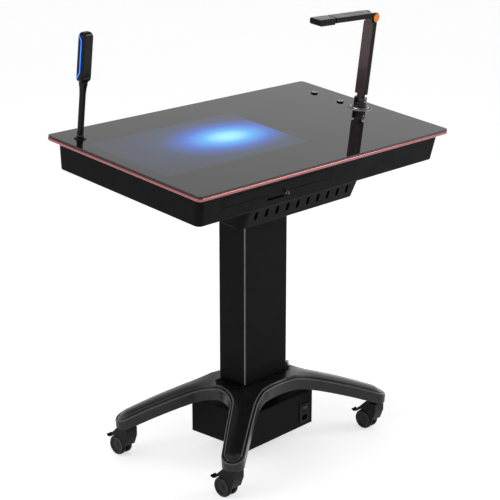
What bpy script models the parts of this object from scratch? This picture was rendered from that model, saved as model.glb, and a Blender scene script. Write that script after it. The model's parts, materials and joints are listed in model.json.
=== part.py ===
"""Mobile reading desk with a built-in display and a folding document camera.

Metres, +Z up. The user stands at -Y and +X is the user's right. The origin lies on the floor, under the
middle of the object. The desk's parts are built in a frame that is tilted about X, on the desk_frame empty.
"""

import math

import bmesh
import bpy
from mathutils import Matrix, Vector

GAP = 0.0003                          # clearance left between pieces that touch

# Desk
DESK_WIDTH = 1.150
DESK_DEPTH = 0.620
DESK_HEIGHT = 1.022                   # middle of the edge trim above the floor
DESK_TILT = math.radians(7.48)        # the user's edge is the lower one
DEPTH_SHIFT = -0.0110                 # moves the whole part so that its box is centred on the origin
TRIM_HEIGHT = 0.017
TRIM_WIDTH = 0.008
GLASS_INSET = 0.0010
GLASS_TOP = 0.0078                    # heights from here on are in the desk's frame
GLASS_BOTTOM = 0.0025
DECK_BOTTOM = -0.0085
HOUSING_TOP = DECK_BOTTOM - GAP
HOUSING_BOTTOM = -0.0953
HOUSING_TOP_HALF = (0.5505, 0.291)
HOUSING_BOTTOM_HALF = (0.5425, 0.284)
SHEET = 0.0025
TRAY_BOTTOM = -0.203
TRAY_CENTRE_X = 0.0212
TRAY_TOP_HALF = (0.2772, 0.2076)
TRAY_BOTTOM_HALF = (0.2682, 0.180)
VENT_COUNT = 10
VENT_PITCH = 0.0472
DISPLAY_CENTRE = (-0.2335, 0.0165)
DISPLAY_SIZE = (0.616, 0.352)
DISPLAY_DEPTH = 0.020

# Keyboard drawer
DRAWER_X = -0.223
DRAWER_WIDTH = 0.468
DRAWER_TOP = -0.0260
DRAWER_BOTTOM = -0.0550
TRAY_HALF = 0.2200
DRAWER_BACK = -0.060
PULL_LEFT = -0.2655
PULL_RIGHT = -0.1780
PULL_BOTTOM = -0.0665
LATCH_AT = (-0.1870, -0.0600)
LATCH_PLATE_LEFT = -0.1955
LATCH_PLATE_BOTTOM = -0.0718

# Microphone and knobs
MIC_AT = (-0.514, 0.231)
MIC_POLE_TOP = 0.178
MIC_HEAD_TOP = 0.323
KNOBS = {"volume_knob": (0.494, 0.186), "menu_knob": (0.493, 0.074)}

# Document camera
CAMERA_AT = (0.500, -0.002)
CAMERA_PIVOT = 0.032
CAMERA_ELBOW = 0.312
ARM_HALF = 0.021
ARM_THICK = 0.018
UPPER_ARM_RISE = math.radians(1.2)
UPPER_ARM_END = -0.2035
HEAD_START = -0.2085
HEAD_END = -0.2856
HEAD_DEPTH = 0.0035                    # how far the head reaches below the upper arm
UPPER_ARM_AXIS = 0.0080               # the upper arm's centre line above the elbow pin

# Lifting column
COLUMN_Y = 0.0167
SLEEVE = (0.2000, 0.1100)
SLEEVE_BOTTOM = 0.2410
SLEEVE_TOP = 0.8700
MAST = (0.1700, 0.0776)
MAST_TOP = 0.800
TUBE_WALL = 0.003

# Base
HUB_TOP = 0.236
LEG_ANGLE = math.radians(33.6)
LEG_REACH = 0.412                     # column axis to caster stem
LEG_HALF = 0.036
LEG_WALL = 0.045
LEG_TIP_BOTTOM = 0.100
LEG_SKIN = 0.008
SIDE_FILLET = (0.257, 0.100)          # centre distance and radius between the two legs on each end
LONG_FILLET = (0.407, 0.297)          # the same between the two legs on the front and on the back

# Equipment box
BOX_HALF_X = 0.154
BOX_FRONT = -0.102
BOX_BACK = 0.141
BOX_BOTTOM = 0.055
BOX_TOP = 0.168
BOX_SHEET = 0.0015
INLET_AT = (0.114, 0.0995)
INLET_HALF = (0.024, 0.031)
SOCKET_DROP = -0.0150
FUSE_DROP = 0.0035
SWITCH_DROP = 0.0175

# Casters
WHEEL_RADIUS = 0.032
CASTER_TRAIL = 0.030
WHEEL_INNER = 0.0055
AXLE_RADIUS = 0.0045
WHEEL_OUTER = 0.0205
FORK_TOP = 0.0985
STEM_RADIUS = 0.0054
STEM_TOP = 0.126
PEDAL_PIVOT = (0.052, 0.0640)


def clear_scene():
    for item in list(bpy.data.objects):
        bpy.data.objects.remove(item, do_unlink=True)


def material(name, colour, roughness, metallic=0.0):
    made = bpy.data.materials.new(name)
    made.use_nodes = True
    shader = made.node_tree.nodes["Principled BSDF"]
    shader.inputs["Base Color"].default_value = (*colour, 1.0)
    shader.inputs["Roughness"].default_value = roughness
    shader.inputs["Metallic"].default_value = metallic
    return made


def make_materials():
    return {
        "black_coat": material("black_coat", (0.018, 0.018, 0.020), 0.42),
        "cast_coat": material("cast_coat", (0.030, 0.030, 0.033), 0.48, 0.3),
        "steel": material("steel", (0.55, 0.55, 0.57), 0.35, 1.0),
        "plate_steel": material("plate_steel", (0.20, 0.20, 0.21), 0.50, 0.8),
        "module_case": material("module_case", (0.30, 0.30, 0.31), 0.45, 0.6),
        "deck_board": material("deck_board", (0.030, 0.028, 0.026), 0.70),
        "rose_metal": material("rose_metal", (0.62, 0.28, 0.27), 0.28, 1.0),
        "black_glass": material("black_glass", (0.010, 0.010, 0.012), 0.03),
        "screen": material("screen", (0.02, 0.05, 0.12), 0.30),
        "black_plastic": material("black_plastic", (0.022, 0.022, 0.024), 0.38),
        "key_plastic": material("key_plastic", (0.05, 0.05, 0.055), 0.55),
        "bronze": material("bronze", (0.090, 0.055, 0.045), 0.30, 0.5),
        "light_metal": material("light_metal", (0.50, 0.50, 0.51), 0.32, 0.9),
        "chrome": material("chrome", (0.80, 0.80, 0.82), 0.08, 1.0),
        "orange": material("orange", (0.85, 0.24, 0.02), 0.40),
        "blue_light": material("blue_light", (0.02, 0.16, 0.90), 0.30),
        "board": material("board", (0.02, 0.16, 0.07), 0.50),
        "rubber": material("rubber", (0.020, 0.020, 0.020), 0.60),
        "lens": material("lens", (0.010, 0.012, 0.020), 0.04),
    }


# ---- solids from loops of points ----

def rounded_rectangle(half_x, half_y, radius, steps=4, centre=(0.0, 0.0)):
    """Corner points of a rectangle with round corners, anticlockwise from above."""
    points = []
    corners = ((1, 1, 0), (-1, 1, 90), (-1, -1, 180), (1, -1, 270))
    for sign_x, sign_y, start in corners:
        middle_x = centre[0] + sign_x * (half_x - radius)
        middle_y = centre[1] + sign_y * (half_y - radius)
        for step in range(steps + 1):
            angle = math.radians(start + 90.0 * step / steps)
            points.append((middle_x + radius * math.cos(angle), middle_y + radius * math.sin(angle)))
    return points


def arc(centre, radius, start, end, steps):
    """Points of an arc from the angle start to the angle end, both in degrees."""
    points = []
    for step in range(steps + 1):
        angle = math.radians(start + (end - start) * step / steps)
        points.append((centre[0] + radius * math.cos(angle), centre[1] + radius * math.sin(angle)))
    return points


def level(points, height):
    return [(x, y, height) for x, y in points]


def finish_shape(shape):
    bmesh.ops.remove_doubles(shape, verts=shape.verts, dist=1e-7)
    bmesh.ops.recalc_face_normals(shape, faces=shape.faces)
    return shape


def skin(loops, ring=False):
    """Bridge loops with equal point counts. A ring joins the last loop to the first, without caps."""
    shape = bmesh.new()
    rows = [[shape.verts.new(point) for point in loop] for loop in loops]
    pairs = list(zip(rows, rows[1:]))
    if ring:
        pairs.append((rows[-1], rows[0]))
    count = len(rows[0])
    for low, high in pairs:
        for index in range(count):
            after = (index + 1) % count
            shape.faces.new((low[index], low[after], high[after], high[index]))
    if not ring:
        shape.faces.new(list(reversed(rows[0])))
        shape.faces.new(rows[-1])
    return finish_shape(shape)


def turned(profile, steps=24, ring=False):
    """Solid of revolution about Z from (radius, height) points. A ring closes its profile on itself."""
    loops = []
    for radius, height in profile:
        circle = [(radius * math.cos(2 * math.pi * step / steps),
                   radius * math.sin(2 * math.pi * step / steps), height) for step in range(steps)]
        loops.append(circle)
    return skin(loops, ring)


def block(low, high):
    x0, y0, z0 = low
    x1, y1, z1 = high
    outline = [(x0, y0), (x1, y0), (x1, y1), (x0, y1)]
    return skin([level(outline, z0), level(outline, z1)])


def soft_block(low, high, radius, edge, steps=3):
    """Block with round upright corners and chamfered top and bottom edges."""
    half_x = (high[0] - low[0]) / 2
    half_y = (high[1] - low[1]) / 2
    centre = ((high[0] + low[0]) / 2, (high[1] + low[1]) / 2)
    inner = rounded_rectangle(half_x - edge, half_y - edge, max(radius - edge, 0.0002), steps, centre)
    outer = rounded_rectangle(half_x, half_y, radius, steps, centre)
    return skin([level(inner, low[2]), level(outer, low[2] + edge),
                 level(outer, high[2] - edge), level(inner, high[2])])


def extruded(outline, start, end, axis="Z"):
    """Prism of an outline. Along X the outline is (y, z), and along Y it is (x, z)."""
    if axis == "Z":
        loops = [level(outline, start), level(outline, end)]
    elif axis == "X":
        loops = [[(start, a, b) for a, b in outline], [(end, a, b) for a, b in outline]]
    else:
        loops = [[(a, start, b) for a, b in outline], [(a, end, b) for a, b in outline]]
    return skin(loops)


def moved(shape, offset):
    bmesh.ops.translate(shape, verts=shape.verts, vec=Vector(offset))
    return shape


def turned_to(shape, axis):
    """Lay a solid that was turned about Z along X or Y."""
    if axis == "X":
        matrix = Matrix.Rotation(math.radians(90), 4, "Y")
    else:
        matrix = Matrix.Rotation(math.radians(-90), 4, "X")
    bmesh.ops.transform(shape, matrix=matrix, verts=shape.verts)
    return shape


def rod(axis, radius, start, end, centre=(0.0, 0.0), steps=16):
    """Plain round rod along an axis, with its centre in the other two coordinates."""
    shape = turned([(radius, start), (radius, end)], steps)
    if axis == "Z":
        return moved(shape, (centre[0], centre[1], 0))
    turned_to(shape, axis)
    if axis == "X":
        return moved(shape, (0, centre[0], centre[1]))
    return moved(shape, (centre[0], 0, centre[1]))


def gathered(shapes):
    """One shape that holds several separate solids."""
    whole = bmesh.new()
    for shape in shapes:
        part = bpy.data.meshes.new("part")
        shape.to_mesh(part)
        shape.free()
        whole.from_mesh(part)
        bpy.data.meshes.remove(part)
    return whole


# ---- objects ----

def frame(name, location, rotation=(0.0, 0.0, 0.0), parent=None):
    empty = bpy.data.objects.new(name, None)
    empty.location = location
    empty.rotation_euler = rotation
    empty.parent = parent
    bpy.context.scene.collection.objects.link(empty)
    return empty


def place(name, shape, finish, parent=None, pivot=(0.0, 0.0, 0.0)):
    """Make an object from a shape given in its parent's frame, with its origin at the pivot."""
    moved(shape, (-pivot[0], -pivot[1], -pivot[2]))
    mesh = bpy.data.meshes.new(name)
    shape.to_mesh(mesh)
    shape.free()
    mesh.materials.append(finish)
    mesh.shade_smooth()
    mesh.set_sharp_from_angle(angle=math.radians(35))
    made = bpy.data.objects.new(name, mesh)
    made.location = pivot
    made.parent = parent
    bpy.context.scene.collection.objects.link(made)
    return made


def combine(target, shape, operation, parent=None):
    """Join, cut or trim an object with a shape given in the parent's frame."""
    mesh = bpy.data.meshes.new("tool")
    shape.to_mesh(mesh)
    shape.free()
    tool = bpy.data.objects.new("tool", mesh)
    tool.parent = parent
    tool.hide_render = True
    tool.display_type = "WIRE"
    bpy.context.scene.collection.objects.link(tool)
    change = target.modifiers.new("change", "BOOLEAN")
    change.operation = operation
    change.object = tool
    graph = bpy.context.evaluated_depsgraph_get()
    result = bpy.data.meshes.new_from_object(target.evaluated_get(graph))
    target.modifiers.clear()
    target.data = result
    bpy.data.objects.remove(tool, do_unlink=True)


def join(target, shape, parent=None):
    combine(target, shape, "UNION", parent)


def cut(target, shape, parent=None):
    combine(target, shape, "DIFFERENCE", parent)


# ---- base ----

def leg_top(along):
    """Height of a leg's top face at a distance along the leg."""
    beyond = max(0.0, along - 0.130)
    return HUB_TOP - 0.2286 * beyond - 0.30 * beyond ** 2


def leg_edges():
    """Left and right outline of a leg as (along, across, outward direction), from the hub to the tip."""
    left = []
    right = []
    long_centre = (LONG_FILLET[0] * math.sin(LEG_ANGLE), LONG_FILLET[0] * math.cos(LEG_ANGLE))
    side_centre = (SIDE_FILLET[0] * math.cos(LEG_ANGLE), -SIDE_FILLET[0] * math.sin(LEG_ANGLE))
    long_start = 270.0 - math.degrees(LEG_ANGLE)
    side_start = 180.0 - math.degrees(LEG_ANGLE)
    fillet_steps = 6
    for step in range(fillet_steps + 1):
        share = step / fillet_steps
        for edge, middle, radius, start, end in (
                (left, long_centre, LONG_FILLET[1], long_start, 270.0),
                (right, side_centre, SIDE_FILLET[1], side_start, 90.0)):
            angle = math.radians(start + (end - start) * share)
            way = (math.cos(angle), math.sin(angle))
            edge.append((middle[0] + radius * way[0], middle[1] + radius * way[1], -way[0], -way[1]))
    for along in (0.270, 0.320, 0.365):
        half = LEG_HALF + (LEG_REACH - along) * 0.03
        left.append((along, half, 0.03, 1.0))
        right.append((along, -half, 0.03, -1.0))
    for angle in (90, 65, 42, 22, 8):
        way = (math.cos(math.radians(angle)), math.sin(math.radians(angle)))
        left.append((LEG_REACH + LEG_HALF * way[0], LEG_HALF * way[1], way[0], way[1]))
        right.append((LEG_REACH + LEG_HALF * way[0], -LEG_HALF * way[1], way[0], -way[1]))
    return left, right


def leg_profile():
    """(inset, drop) down the outside of a leg, round its lower rim and up to the hollow's ceiling."""
    outside = [(0.0115, 0.0), (0.0092, 0.0012), (0.0076, 0.0046), (0.0042, 0.0052),
               (0.0012, 0.0068), (0.0, 0.0100), (0.0012, LEG_WALL)]
    inside = [(0.0062, LEG_WALL), (0.0072, LEG_SKIN + 0.002), (0.0095, LEG_SKIN)]
    return outside, inside


def leg_point(edge, inset, drop, mirror_x, mirror_y):
    along, across, out_along, out_across = edge
    height = leg_top(along) - drop
    if drop == LEG_WALL:
        height = max(height, LEG_TIP_BOTTOM)
    along -= out_along * inset
    across -= out_across * inset
    x = along * math.cos(LEG_ANGLE) - across * math.sin(LEG_ANGLE)
    y = along * math.sin(LEG_ANGLE) + across * math.cos(LEG_ANGLE)
    return (mirror_x * x, COLUMN_Y + mirror_y * y, height)


def base_shape():
    """Four hollow legs, open below, that meet in a flat hub."""
    shape = bmesh.new()
    left, right = leg_edges()
    outside, inside = leg_profile()
    profile = outside + inside
    hub_rows = {}
    for mirror_x in (1, -1):
        for mirror_y in (1, -1):
            rows = []
            for edge_left, edge_right in zip(left, right):
                row = [[shape.verts.new(leg_point(edge, inset, drop, mirror_x, mirror_y))
                        for inset, drop in profile] for edge in (edge_left, edge_right)]
                rows.append(row)
            hub_rows[(mirror_x, mirror_y)] = rows[0]
            for before, after in zip(rows, rows[1:]):
                for side in (0, 1):
                    for step in range(len(profile) - 1):
                        shape.faces.new((before[side][step], before[side][step + 1],
                                         after[side][step + 1], after[side][step]))
                for step in (0, len(profile) - 1):
                    shape.faces.new((before[0][step], after[0][step], after[1][step], before[1][step]))
            tip = rows[-1]
            for step in range(len(profile) - 1):
                shape.faces.new((tip[0][step], tip[0][step + 1], tip[1][step + 1], tip[1][step]))
    for step in (0, len(profile) - 1):
        ring = []
        for key, order in (((1, 1), (1, 0)), ((-1, 1), (0, 1)), ((-1, -1), (1, 0)), ((1, -1), (0, 1))):
            ring += [hub_rows[key][side][step] for side in order]
        shape.faces.new(ring)
    bmesh.ops.remove_doubles(shape, verts=shape.verts, dist=1e-6)
    bmesh.ops.dissolve_degenerate(shape, edges=shape.edges, dist=1e-7)
    bmesh.ops.recalc_face_normals(shape, faces=shape.faces)
    return shape


def stem_places():
    reach_x = LEG_REACH * math.cos(LEG_ANGLE)
    reach_y = LEG_REACH * math.sin(LEG_ANGLE)
    return [("front_left", -reach_x, COLUMN_Y - reach_y), ("front_right", reach_x, COLUMN_Y - reach_y),
            ("back_left", -reach_x, COLUMN_Y + reach_y), ("back_right", reach_x, COLUMN_Y + reach_y)]


def socket_boss(x, y):
    """Round boss for a caster stem, from the leg's lower rim up into its sloping skin."""
    radius = 0.014
    low = []
    high = []
    for step in range(16):
        angle = 2 * math.pi * step / 16
        point_x = x + radius * math.cos(angle)
        point_y = y + radius * math.sin(angle)
        along = abs(point_x) * math.cos(LEG_ANGLE) + abs(point_y - COLUMN_Y) * math.sin(LEG_ANGLE)
        low.append((point_x, point_y, LEG_TIP_BOTTOM))
        high.append((point_x, point_y, leg_top(along) - LEG_SKIN / 2))
    return skin([low, high])


def make_base(finishes):
    base = place("base_casting", base_shape(), finishes["cast_coat"])
    join(base, gathered([socket_boss(x, y) for _, x, y in stem_places()]))
    hole = STEM_RADIUS + GAP
    cut(base, gathered([rod("Z", hole, 0.09, STEM_TOP + 0.002, (x, y), 12) for _, x, y in stem_places()]))
    plate = rounded_rectangle(0.132, 0.050, 0.012, 3, (0, COLUMN_Y))
    foot = place("column_foot_plate", extruded(plate, HUB_TOP + GAP, HUB_TOP + 0.0040), finishes["black_coat"])
    bolts = []
    for sign_x, rise in ((-1, 0.0065), (1, 0.0205)):
        for sign_y in (-1, 1):
            head = turned([(0.0078, HUB_TOP + 0.0030), (0.0078, HUB_TOP + rise - 0.0020),
                           (0.0062, HUB_TOP + rise)], 12)
            bolts.append(moved(head, (sign_x * 0.121, COLUMN_Y + sign_y * 0.039, 0)))
    join(foot, gathered(bolts))


# ---- lifting column ----

def rectangular_tube(size, wall, low, high, radius, steps):
    outer = rounded_rectangle(size[0] / 2, size[1] / 2, radius, steps, (0, COLUMN_Y))
    inner = rounded_rectangle(size[0] / 2 - wall, size[1] / 2 - wall, radius / 2, steps, (0, COLUMN_Y))
    return skin([level(outer, low), level(outer, high), level(inner, high), level(inner, low)], ring=True)


def glide_collar():
    """Plastic collar that fills the space between mast and sleeve near the mast's top."""
    low, high = MAST_TOP - 0.100, MAST_TOP - 0.010
    outer = rounded_rectangle(SLEEVE[0] / 2 - TUBE_WALL - GAP, SLEEVE[1] / 2 - TUBE_WALL - GAP, 0.0028, 2,
                              (0, COLUMN_Y))
    inner = rounded_rectangle(MAST[0] / 2 + GAP, MAST[1] / 2 + GAP, 0.0040, 2, (0, COLUMN_Y))
    return skin([level(outer, low), level(outer, high), level(inner, high), level(inner, low)], ring=True)


def housing_floor_at(y):
    """Height above the floor of the tilted housing's underside."""
    return DESK_HEIGHT + y * math.tan(DESK_TILT) + HOUSING_BOTTOM / math.cos(DESK_TILT)


def make_column(finishes, desk):
    foot = HUB_TOP + 0.0040 + GAP
    place("inner_mast", rectangular_tube(MAST, TUBE_WALL, foot, MAST_TOP, 0.004, 2), finishes["steel"])
    place("mast_glide", glide_collar(), finishes["black_plastic"])
    gearbox_top = foot + 0.028
    motor = place("lift_motor", soft_block((-0.028, COLUMN_Y - 0.027, foot),
                                           (0.070, COLUMN_Y + 0.027, gearbox_top), 0.006, 0.001, 2),
                  finishes["plate_steel"])
    join(motor, rod("Z", 0.019, gearbox_top - 0.002, 0.390, (0.048, COLUMN_Y)))
    tube = turned([(0.022, gearbox_top + GAP), (0.022, 0.620), (0.018, 0.620),
                   (0.018, gearbox_top + GAP)], 20, ring=True)
    place("lift_tube", moved(tube, (0, COLUMN_Y, 0)), finishes["plate_steel"])

    sleeve = rectangular_tube(SLEEVE, TUBE_WALL, SLEEVE_BOTTOM, SLEEVE_TOP, 0.005, 2)
    place("column_sleeve", sleeve, finishes["black_coat"])
    place("lift_rod", rod("Z", 0.0155, 0.320, SLEEVE_TOP, (0, COLUMN_Y), 20), finishes["steel"])
    plate_low = SLEEVE_TOP + GAP
    bracket = place("desk_bracket", block((-0.0985, COLUMN_Y - 0.0535, plate_low),
                                          (0.0985, COLUMN_Y + 0.0535, plate_low + 0.006)),
                    finishes["plate_steel"])
    front, back = COLUMN_Y - 0.045, COLUMN_Y + 0.045
    side = [(front, plate_low + 0.003), (back, plate_low + 0.003), (back, housing_floor_at(back) - 0.004),
            (front, housing_floor_at(front) - 0.004)]
    gussets = [extruded(side, x - 0.003, x + 0.003, "X") for x in (-0.070, 0.070)]
    join(bracket, gathered(gussets))
    join(bracket, block((-0.170, -0.075, HOUSING_BOTTOM - 0.0075), (0.170, 0.085, HOUSING_BOTTOM - GAP)), desk)


# ---- equipment box ----

def make_equipment_box(finishes):
    outer = [(-BOX_HALF_X, BOX_FRONT), (BOX_HALF_X, BOX_FRONT), (BOX_HALF_X, BOX_BACK), (-BOX_HALF_X, BOX_BACK)]
    thin = BOX_SHEET
    inner = [(-BOX_HALF_X + thin, BOX_FRONT + thin), (BOX_HALF_X - thin, BOX_FRONT + thin),
             (BOX_HALF_X - thin, BOX_BACK - thin), (-BOX_HALF_X + thin, BOX_BACK - thin)]
    shell = skin([level(outer, BOX_BOTTOM), level(outer, BOX_TOP), level(inner, BOX_TOP),
                  level(inner, BOX_BOTTOM + thin)])
    box = place("equipment_box", shell, finishes["black_coat"])
    centre_x, centre_z = INLET_AT
    window = block((centre_x - INLET_HALF[0] + 0.0015, BOX_FRONT - 0.01, centre_z - INLET_HALF[1] + 0.0015),
                   (centre_x + INLET_HALF[0] - 0.0015, BOX_FRONT + 0.01, centre_z + INLET_HALF[1] - 0.0015))
    cut(box, window)
    cover = place("box_cover", extruded(outer, BOX_TOP + GAP, BOX_TOP + GAP + thin), finishes["black_coat"])
    posts = [rod("Z", 0.008, BOX_TOP + 0.001, HUB_TOP - LEG_SKIN - GAP, (x, COLUMN_Y + y), 12)
             for x in (-0.050, 0.050) for y in (-0.035, 0.035)]
    join(cover, gathered(posts))
    floor = BOX_BOTTOM + thin + GAP
    place("power_supply", soft_block((-0.135, -0.070, floor), (-0.025, 0.110, floor + 0.050), 0.002, 0.001, 1),
          finishes["module_case"])


def inlet_cutter(half_x, half_z, drop, depth, front=BOX_FRONT - 0.01):
    centre_x = INLET_AT[0]
    centre_z = INLET_AT[1] + drop
    return block((centre_x - half_x, front, centre_z - half_z), (centre_x + half_x, depth, centre_z + half_z))


def make_inlet(finishes):
    centre_x, centre_z = INLET_AT

    def outline(inset, y):
        half_x, half_z = INLET_HALF[0] - inset, INLET_HALF[1] - inset
        return [(x, y, z) for x, z in rounded_rectangle(half_x, half_z, 0.003, 2, (centre_x, centre_z))]

    face = BOX_FRONT - 0.0022
    seat = BOX_FRONT - GAP
    body = skin([outline(0.0008, face - 0.0006), outline(0.0, face), outline(0.0, seat),
                 outline(0.0020, seat), outline(0.0020, BOX_FRONT + 0.030)])
    module = place("power_inlet", body, finishes["black_plastic"])
    cut(module, inlet_cutter(0.0120, 0.0085, SOCKET_DROP, BOX_FRONT + 0.018))
    cut(module, inlet_cutter(0.0094, 0.0031, FUSE_DROP, BOX_FRONT + 0.0225))
    cut(module, inlet_cutter(0.0110, 0.0072, SWITCH_DROP, BOX_FRONT + 0.012))
    blades = []
    for offset_x, offset_z in ((-0.0055, -0.0015), (0.0, 0.0030), (0.0055, -0.0015)):
        x = centre_x + offset_x
        z = centre_z + SOCKET_DROP + offset_z
        blades.append(block((x - 0.0010, BOX_FRONT + 0.003, z - 0.0020), (x + 0.0010, BOX_FRONT + 0.019, z + 0.0020)))
    join(module, gathered(blades))
    place("fuse_drawer", inlet_cutter(0.0090, 0.0027, FUSE_DROP, BOX_FRONT + 0.0215, BOX_FRONT - 0.0042),
          finishes["black_plastic"], pivot=(centre_x, BOX_FRONT, centre_z + FUSE_DROP))
    middle = centre_z + SWITCH_DROP
    profile = [(BOX_FRONT - 0.0052, 0.0055), (BOX_FRONT - 0.0030, 0.0), (BOX_FRONT - 0.0052, -0.0055),
               (BOX_FRONT + 0.0060, -0.0048), (BOX_FRONT + 0.0060, 0.0048)]
    rocker = extruded([(y, middle + z) for y, z in profile], centre_x - 0.0105, centre_x + 0.0105, "X")
    place("power_switch", rocker, finishes["black_plastic"], pivot=(centre_x, BOX_FRONT + 0.001, middle))


# ---- casters ----

def caster_fork_shape():
    """Side outline of the hood over both wheels, as (y, z) in the stem's frame."""
    wheel = (CASTER_TRAIL, WHEEL_RADIUS)
    hood = [(-0.0105, 0.0380), (-0.0220, 0.0700), (-0.0220, FORK_TOP - 0.0020), (-0.0200, FORK_TOP),
            (0.0200, FORK_TOP), (0.0460, 0.0730), (0.0460, 0.0640)]
    hood += arc(wheel, WHEEL_RADIUS + 0.0028, 64, 170, 8)
    return extruded(hood, -0.0225, 0.0225, "X")


def caster_web():
    """Middle plate that carries the axle between the wheels."""
    outline = arc((CASTER_TRAIL, WHEEL_RADIUS), 0.010, 180, 360, 6) + [(0.044, 0.072), (0.008, 0.072)]
    return extruded(outline, -0.0048, 0.0048, "X")


def wheels_shape():
    """Two wheels and the axle that joins them, turned in one piece."""
    half = [(0.0080, WHEEL_OUTER - 0.0005), (0.0090, WHEEL_OUTER - 0.002), (0.0200, WHEEL_OUTER - 0.002),
            (0.0280, WHEEL_OUTER), (WHEEL_RADIUS, WHEEL_OUTER - 0.004), (WHEEL_RADIUS, WHEEL_INNER + 0.003),
            (0.0280, WHEEL_INNER), (AXLE_RADIUS, WHEEL_INNER)]
    profile = [(radius, -along) for radius, along in half] + [(radius, along) for radius, along in half[::-1]]
    shape = turned_to(turned(profile, 20), "X")
    return moved(shape, (0, CASTER_TRAIL, WHEEL_RADIUS))


def pedal_shape():
    """Bent brake pedal, thin plate with a hub round its pin."""
    pivot_y, pivot_z = PEDAL_PIVOT
    upper = [(pivot_y + 0.004, pivot_z - 0.0005), (0.0640, 0.0530), (0.0740, 0.0490), (0.0800, 0.0500),
             (0.0840, 0.0530)]
    lower = [(0.0850, 0.0505), (0.0805, 0.0470), (0.0735, 0.0460), (0.0625, 0.0500)]
    hub = arc(PEDAL_PIVOT, 0.0045, 60, 300, 6)
    return extruded(hub + lower[::-1] + upper[::-1], -0.0115, 0.0115, "X")


def caster_fork(finish):
    fork = place("caster_fork", caster_fork_shape(), finish)
    join(fork, caster_web())
    join(fork, turned([(0.0150, FORK_TOP - 0.002), (0.0150, LEG_TIP_BOTTOM - GAP),
                       (STEM_RADIUS, LEG_TIP_BOTTOM - GAP), (STEM_RADIUS, STEM_TOP)], 16))
    cut(fork, rod("X", AXLE_RADIUS + GAP, -0.01, 0.01, (CASTER_TRAIL, WHEEL_RADIUS), 16))
    ear = arc(PEDAL_PIVOT, 0.0045, -90, 90, 4) + [(0.0440, 0.0685), (0.0440, 0.0645)]
    join(fork, extruded(ear, 0.0125, 0.0165, "X"))
    join(fork, extruded(ear, -0.0165, -0.0125, "X"))
    join(fork, rod("X", 0.0016, -0.014, 0.014, PEDAL_PIVOT, 8))
    return fork


def caster_pedal(finish):
    pedal = place("caster_pedal", pedal_shape(), finish, None, (0, PEDAL_PIVOT[0], PEDAL_PIVOT[1]))
    cut(pedal, rod("X", 0.0020, -0.02, 0.02, PEDAL_PIVOT, 8))
    return pedal


def make_casters(finishes):
    """The four casters share the meshes of one, which is built about the origin."""
    patterns = [caster_fork(finishes["black_plastic"]),
                place("caster_wheels", wheels_shape(), finishes["rubber"], None, (0, CASTER_TRAIL, WHEEL_RADIUS)),
                caster_pedal(finishes["black_plastic"])]
    for name, x, y in stem_places():
        stem = frame(f"stem_{name}", (x, y, 0.0))
        for pattern in patterns:
            copy = bpy.data.objects.new(f"{pattern.name}_{name}", pattern.data)
            copy.location = pattern.location
            copy.parent = stem
            bpy.context.scene.collection.objects.link(copy)
    for pattern in patterns:
        bpy.data.objects.remove(pattern, do_unlink=True)


# ---- desk top ----

def desk_outline(inset, radius):
    return rounded_rectangle(DESK_WIDTH / 2 - inset, DESK_DEPTH / 2 - inset, radius, 4)


def trim_shape():
    """Rounded rail round the deck, under the edge of the glass."""
    half = TRIM_HEIGHT / 2
    top = GLASS_BOTTOM - GAP
    profile = [(TRIM_WIDTH, top), (0.0022, top), (0.0007, 0.0008), (0.0, -0.0014), (0.0, -0.0050),
               (0.0007, -0.0070), (0.0022, -half), (TRIM_WIDTH, -half)]
    return skin([level(desk_outline(inset, 0.014 - inset), height) for inset, height in profile], ring=True)


def round_holes(camera, microphone, knob, steps):
    """Cutters for the round holes of the camera, the microphone and the knobs."""
    places = [(CAMERA_AT, camera), (MIC_AT, microphone)] + [(place_xy, knob) for place_xy in KNOBS.values()]
    return gathered([rod("Z", radius, -0.03, 0.03, centre, steps) for centre, radius in places])


def make_top(finishes, desk):
    place("edge_trim", trim_shape(), finishes["rose_metal"], desk)
    inside = desk_outline(TRIM_WIDTH + GAP, 0.0057)
    glass_edge = desk_outline(GLASS_INSET, 0.0130)
    glass = place("glass_top", extruded(glass_edge, GLASS_BOTTOM, GLASS_TOP), finishes["black_glass"], desk)
    cut(glass, round_holes(0.0413, 0.0186, 0.0121, 24), desk)
    deck = place("deck_plate", extruded(inside, DECK_BOTTOM, GLASS_BOTTOM - GAP), finishes["deck_board"], desk)
    cut(deck, round_holes(0.0200, 0.0100, 0.0045, 16), desk)
    half_x, half_y = DISPLAY_SIZE[0] / 2, DISPLAY_SIZE[1] / 2
    centre_x, centre_y = DISPLAY_CENTRE
    cut(deck, block((centre_x - half_x - GAP, centre_y - half_y - GAP, -0.02),
                    (centre_x + half_x + GAP, centre_y + half_y + GAP, 0.02)), desk)
    panel = soft_block((centre_x - half_x, centre_y - half_y, -DISPLAY_DEPTH),
                       (centre_x + half_x, centre_y + half_y, GLASS_BOTTOM - GAP), 0.003, 0.0008, 1)
    place("display_module", panel, finishes["screen"], desk)


def front_face(height):
    """Y of the housing's sloping front face at a height."""
    share = (HOUSING_TOP - height) / (HOUSING_TOP - HOUSING_BOTTOM)
    return -(HOUSING_TOP_HALF[1] + (HOUSING_BOTTOM_HALF[1] - HOUSING_TOP_HALF[1]) * share)


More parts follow.
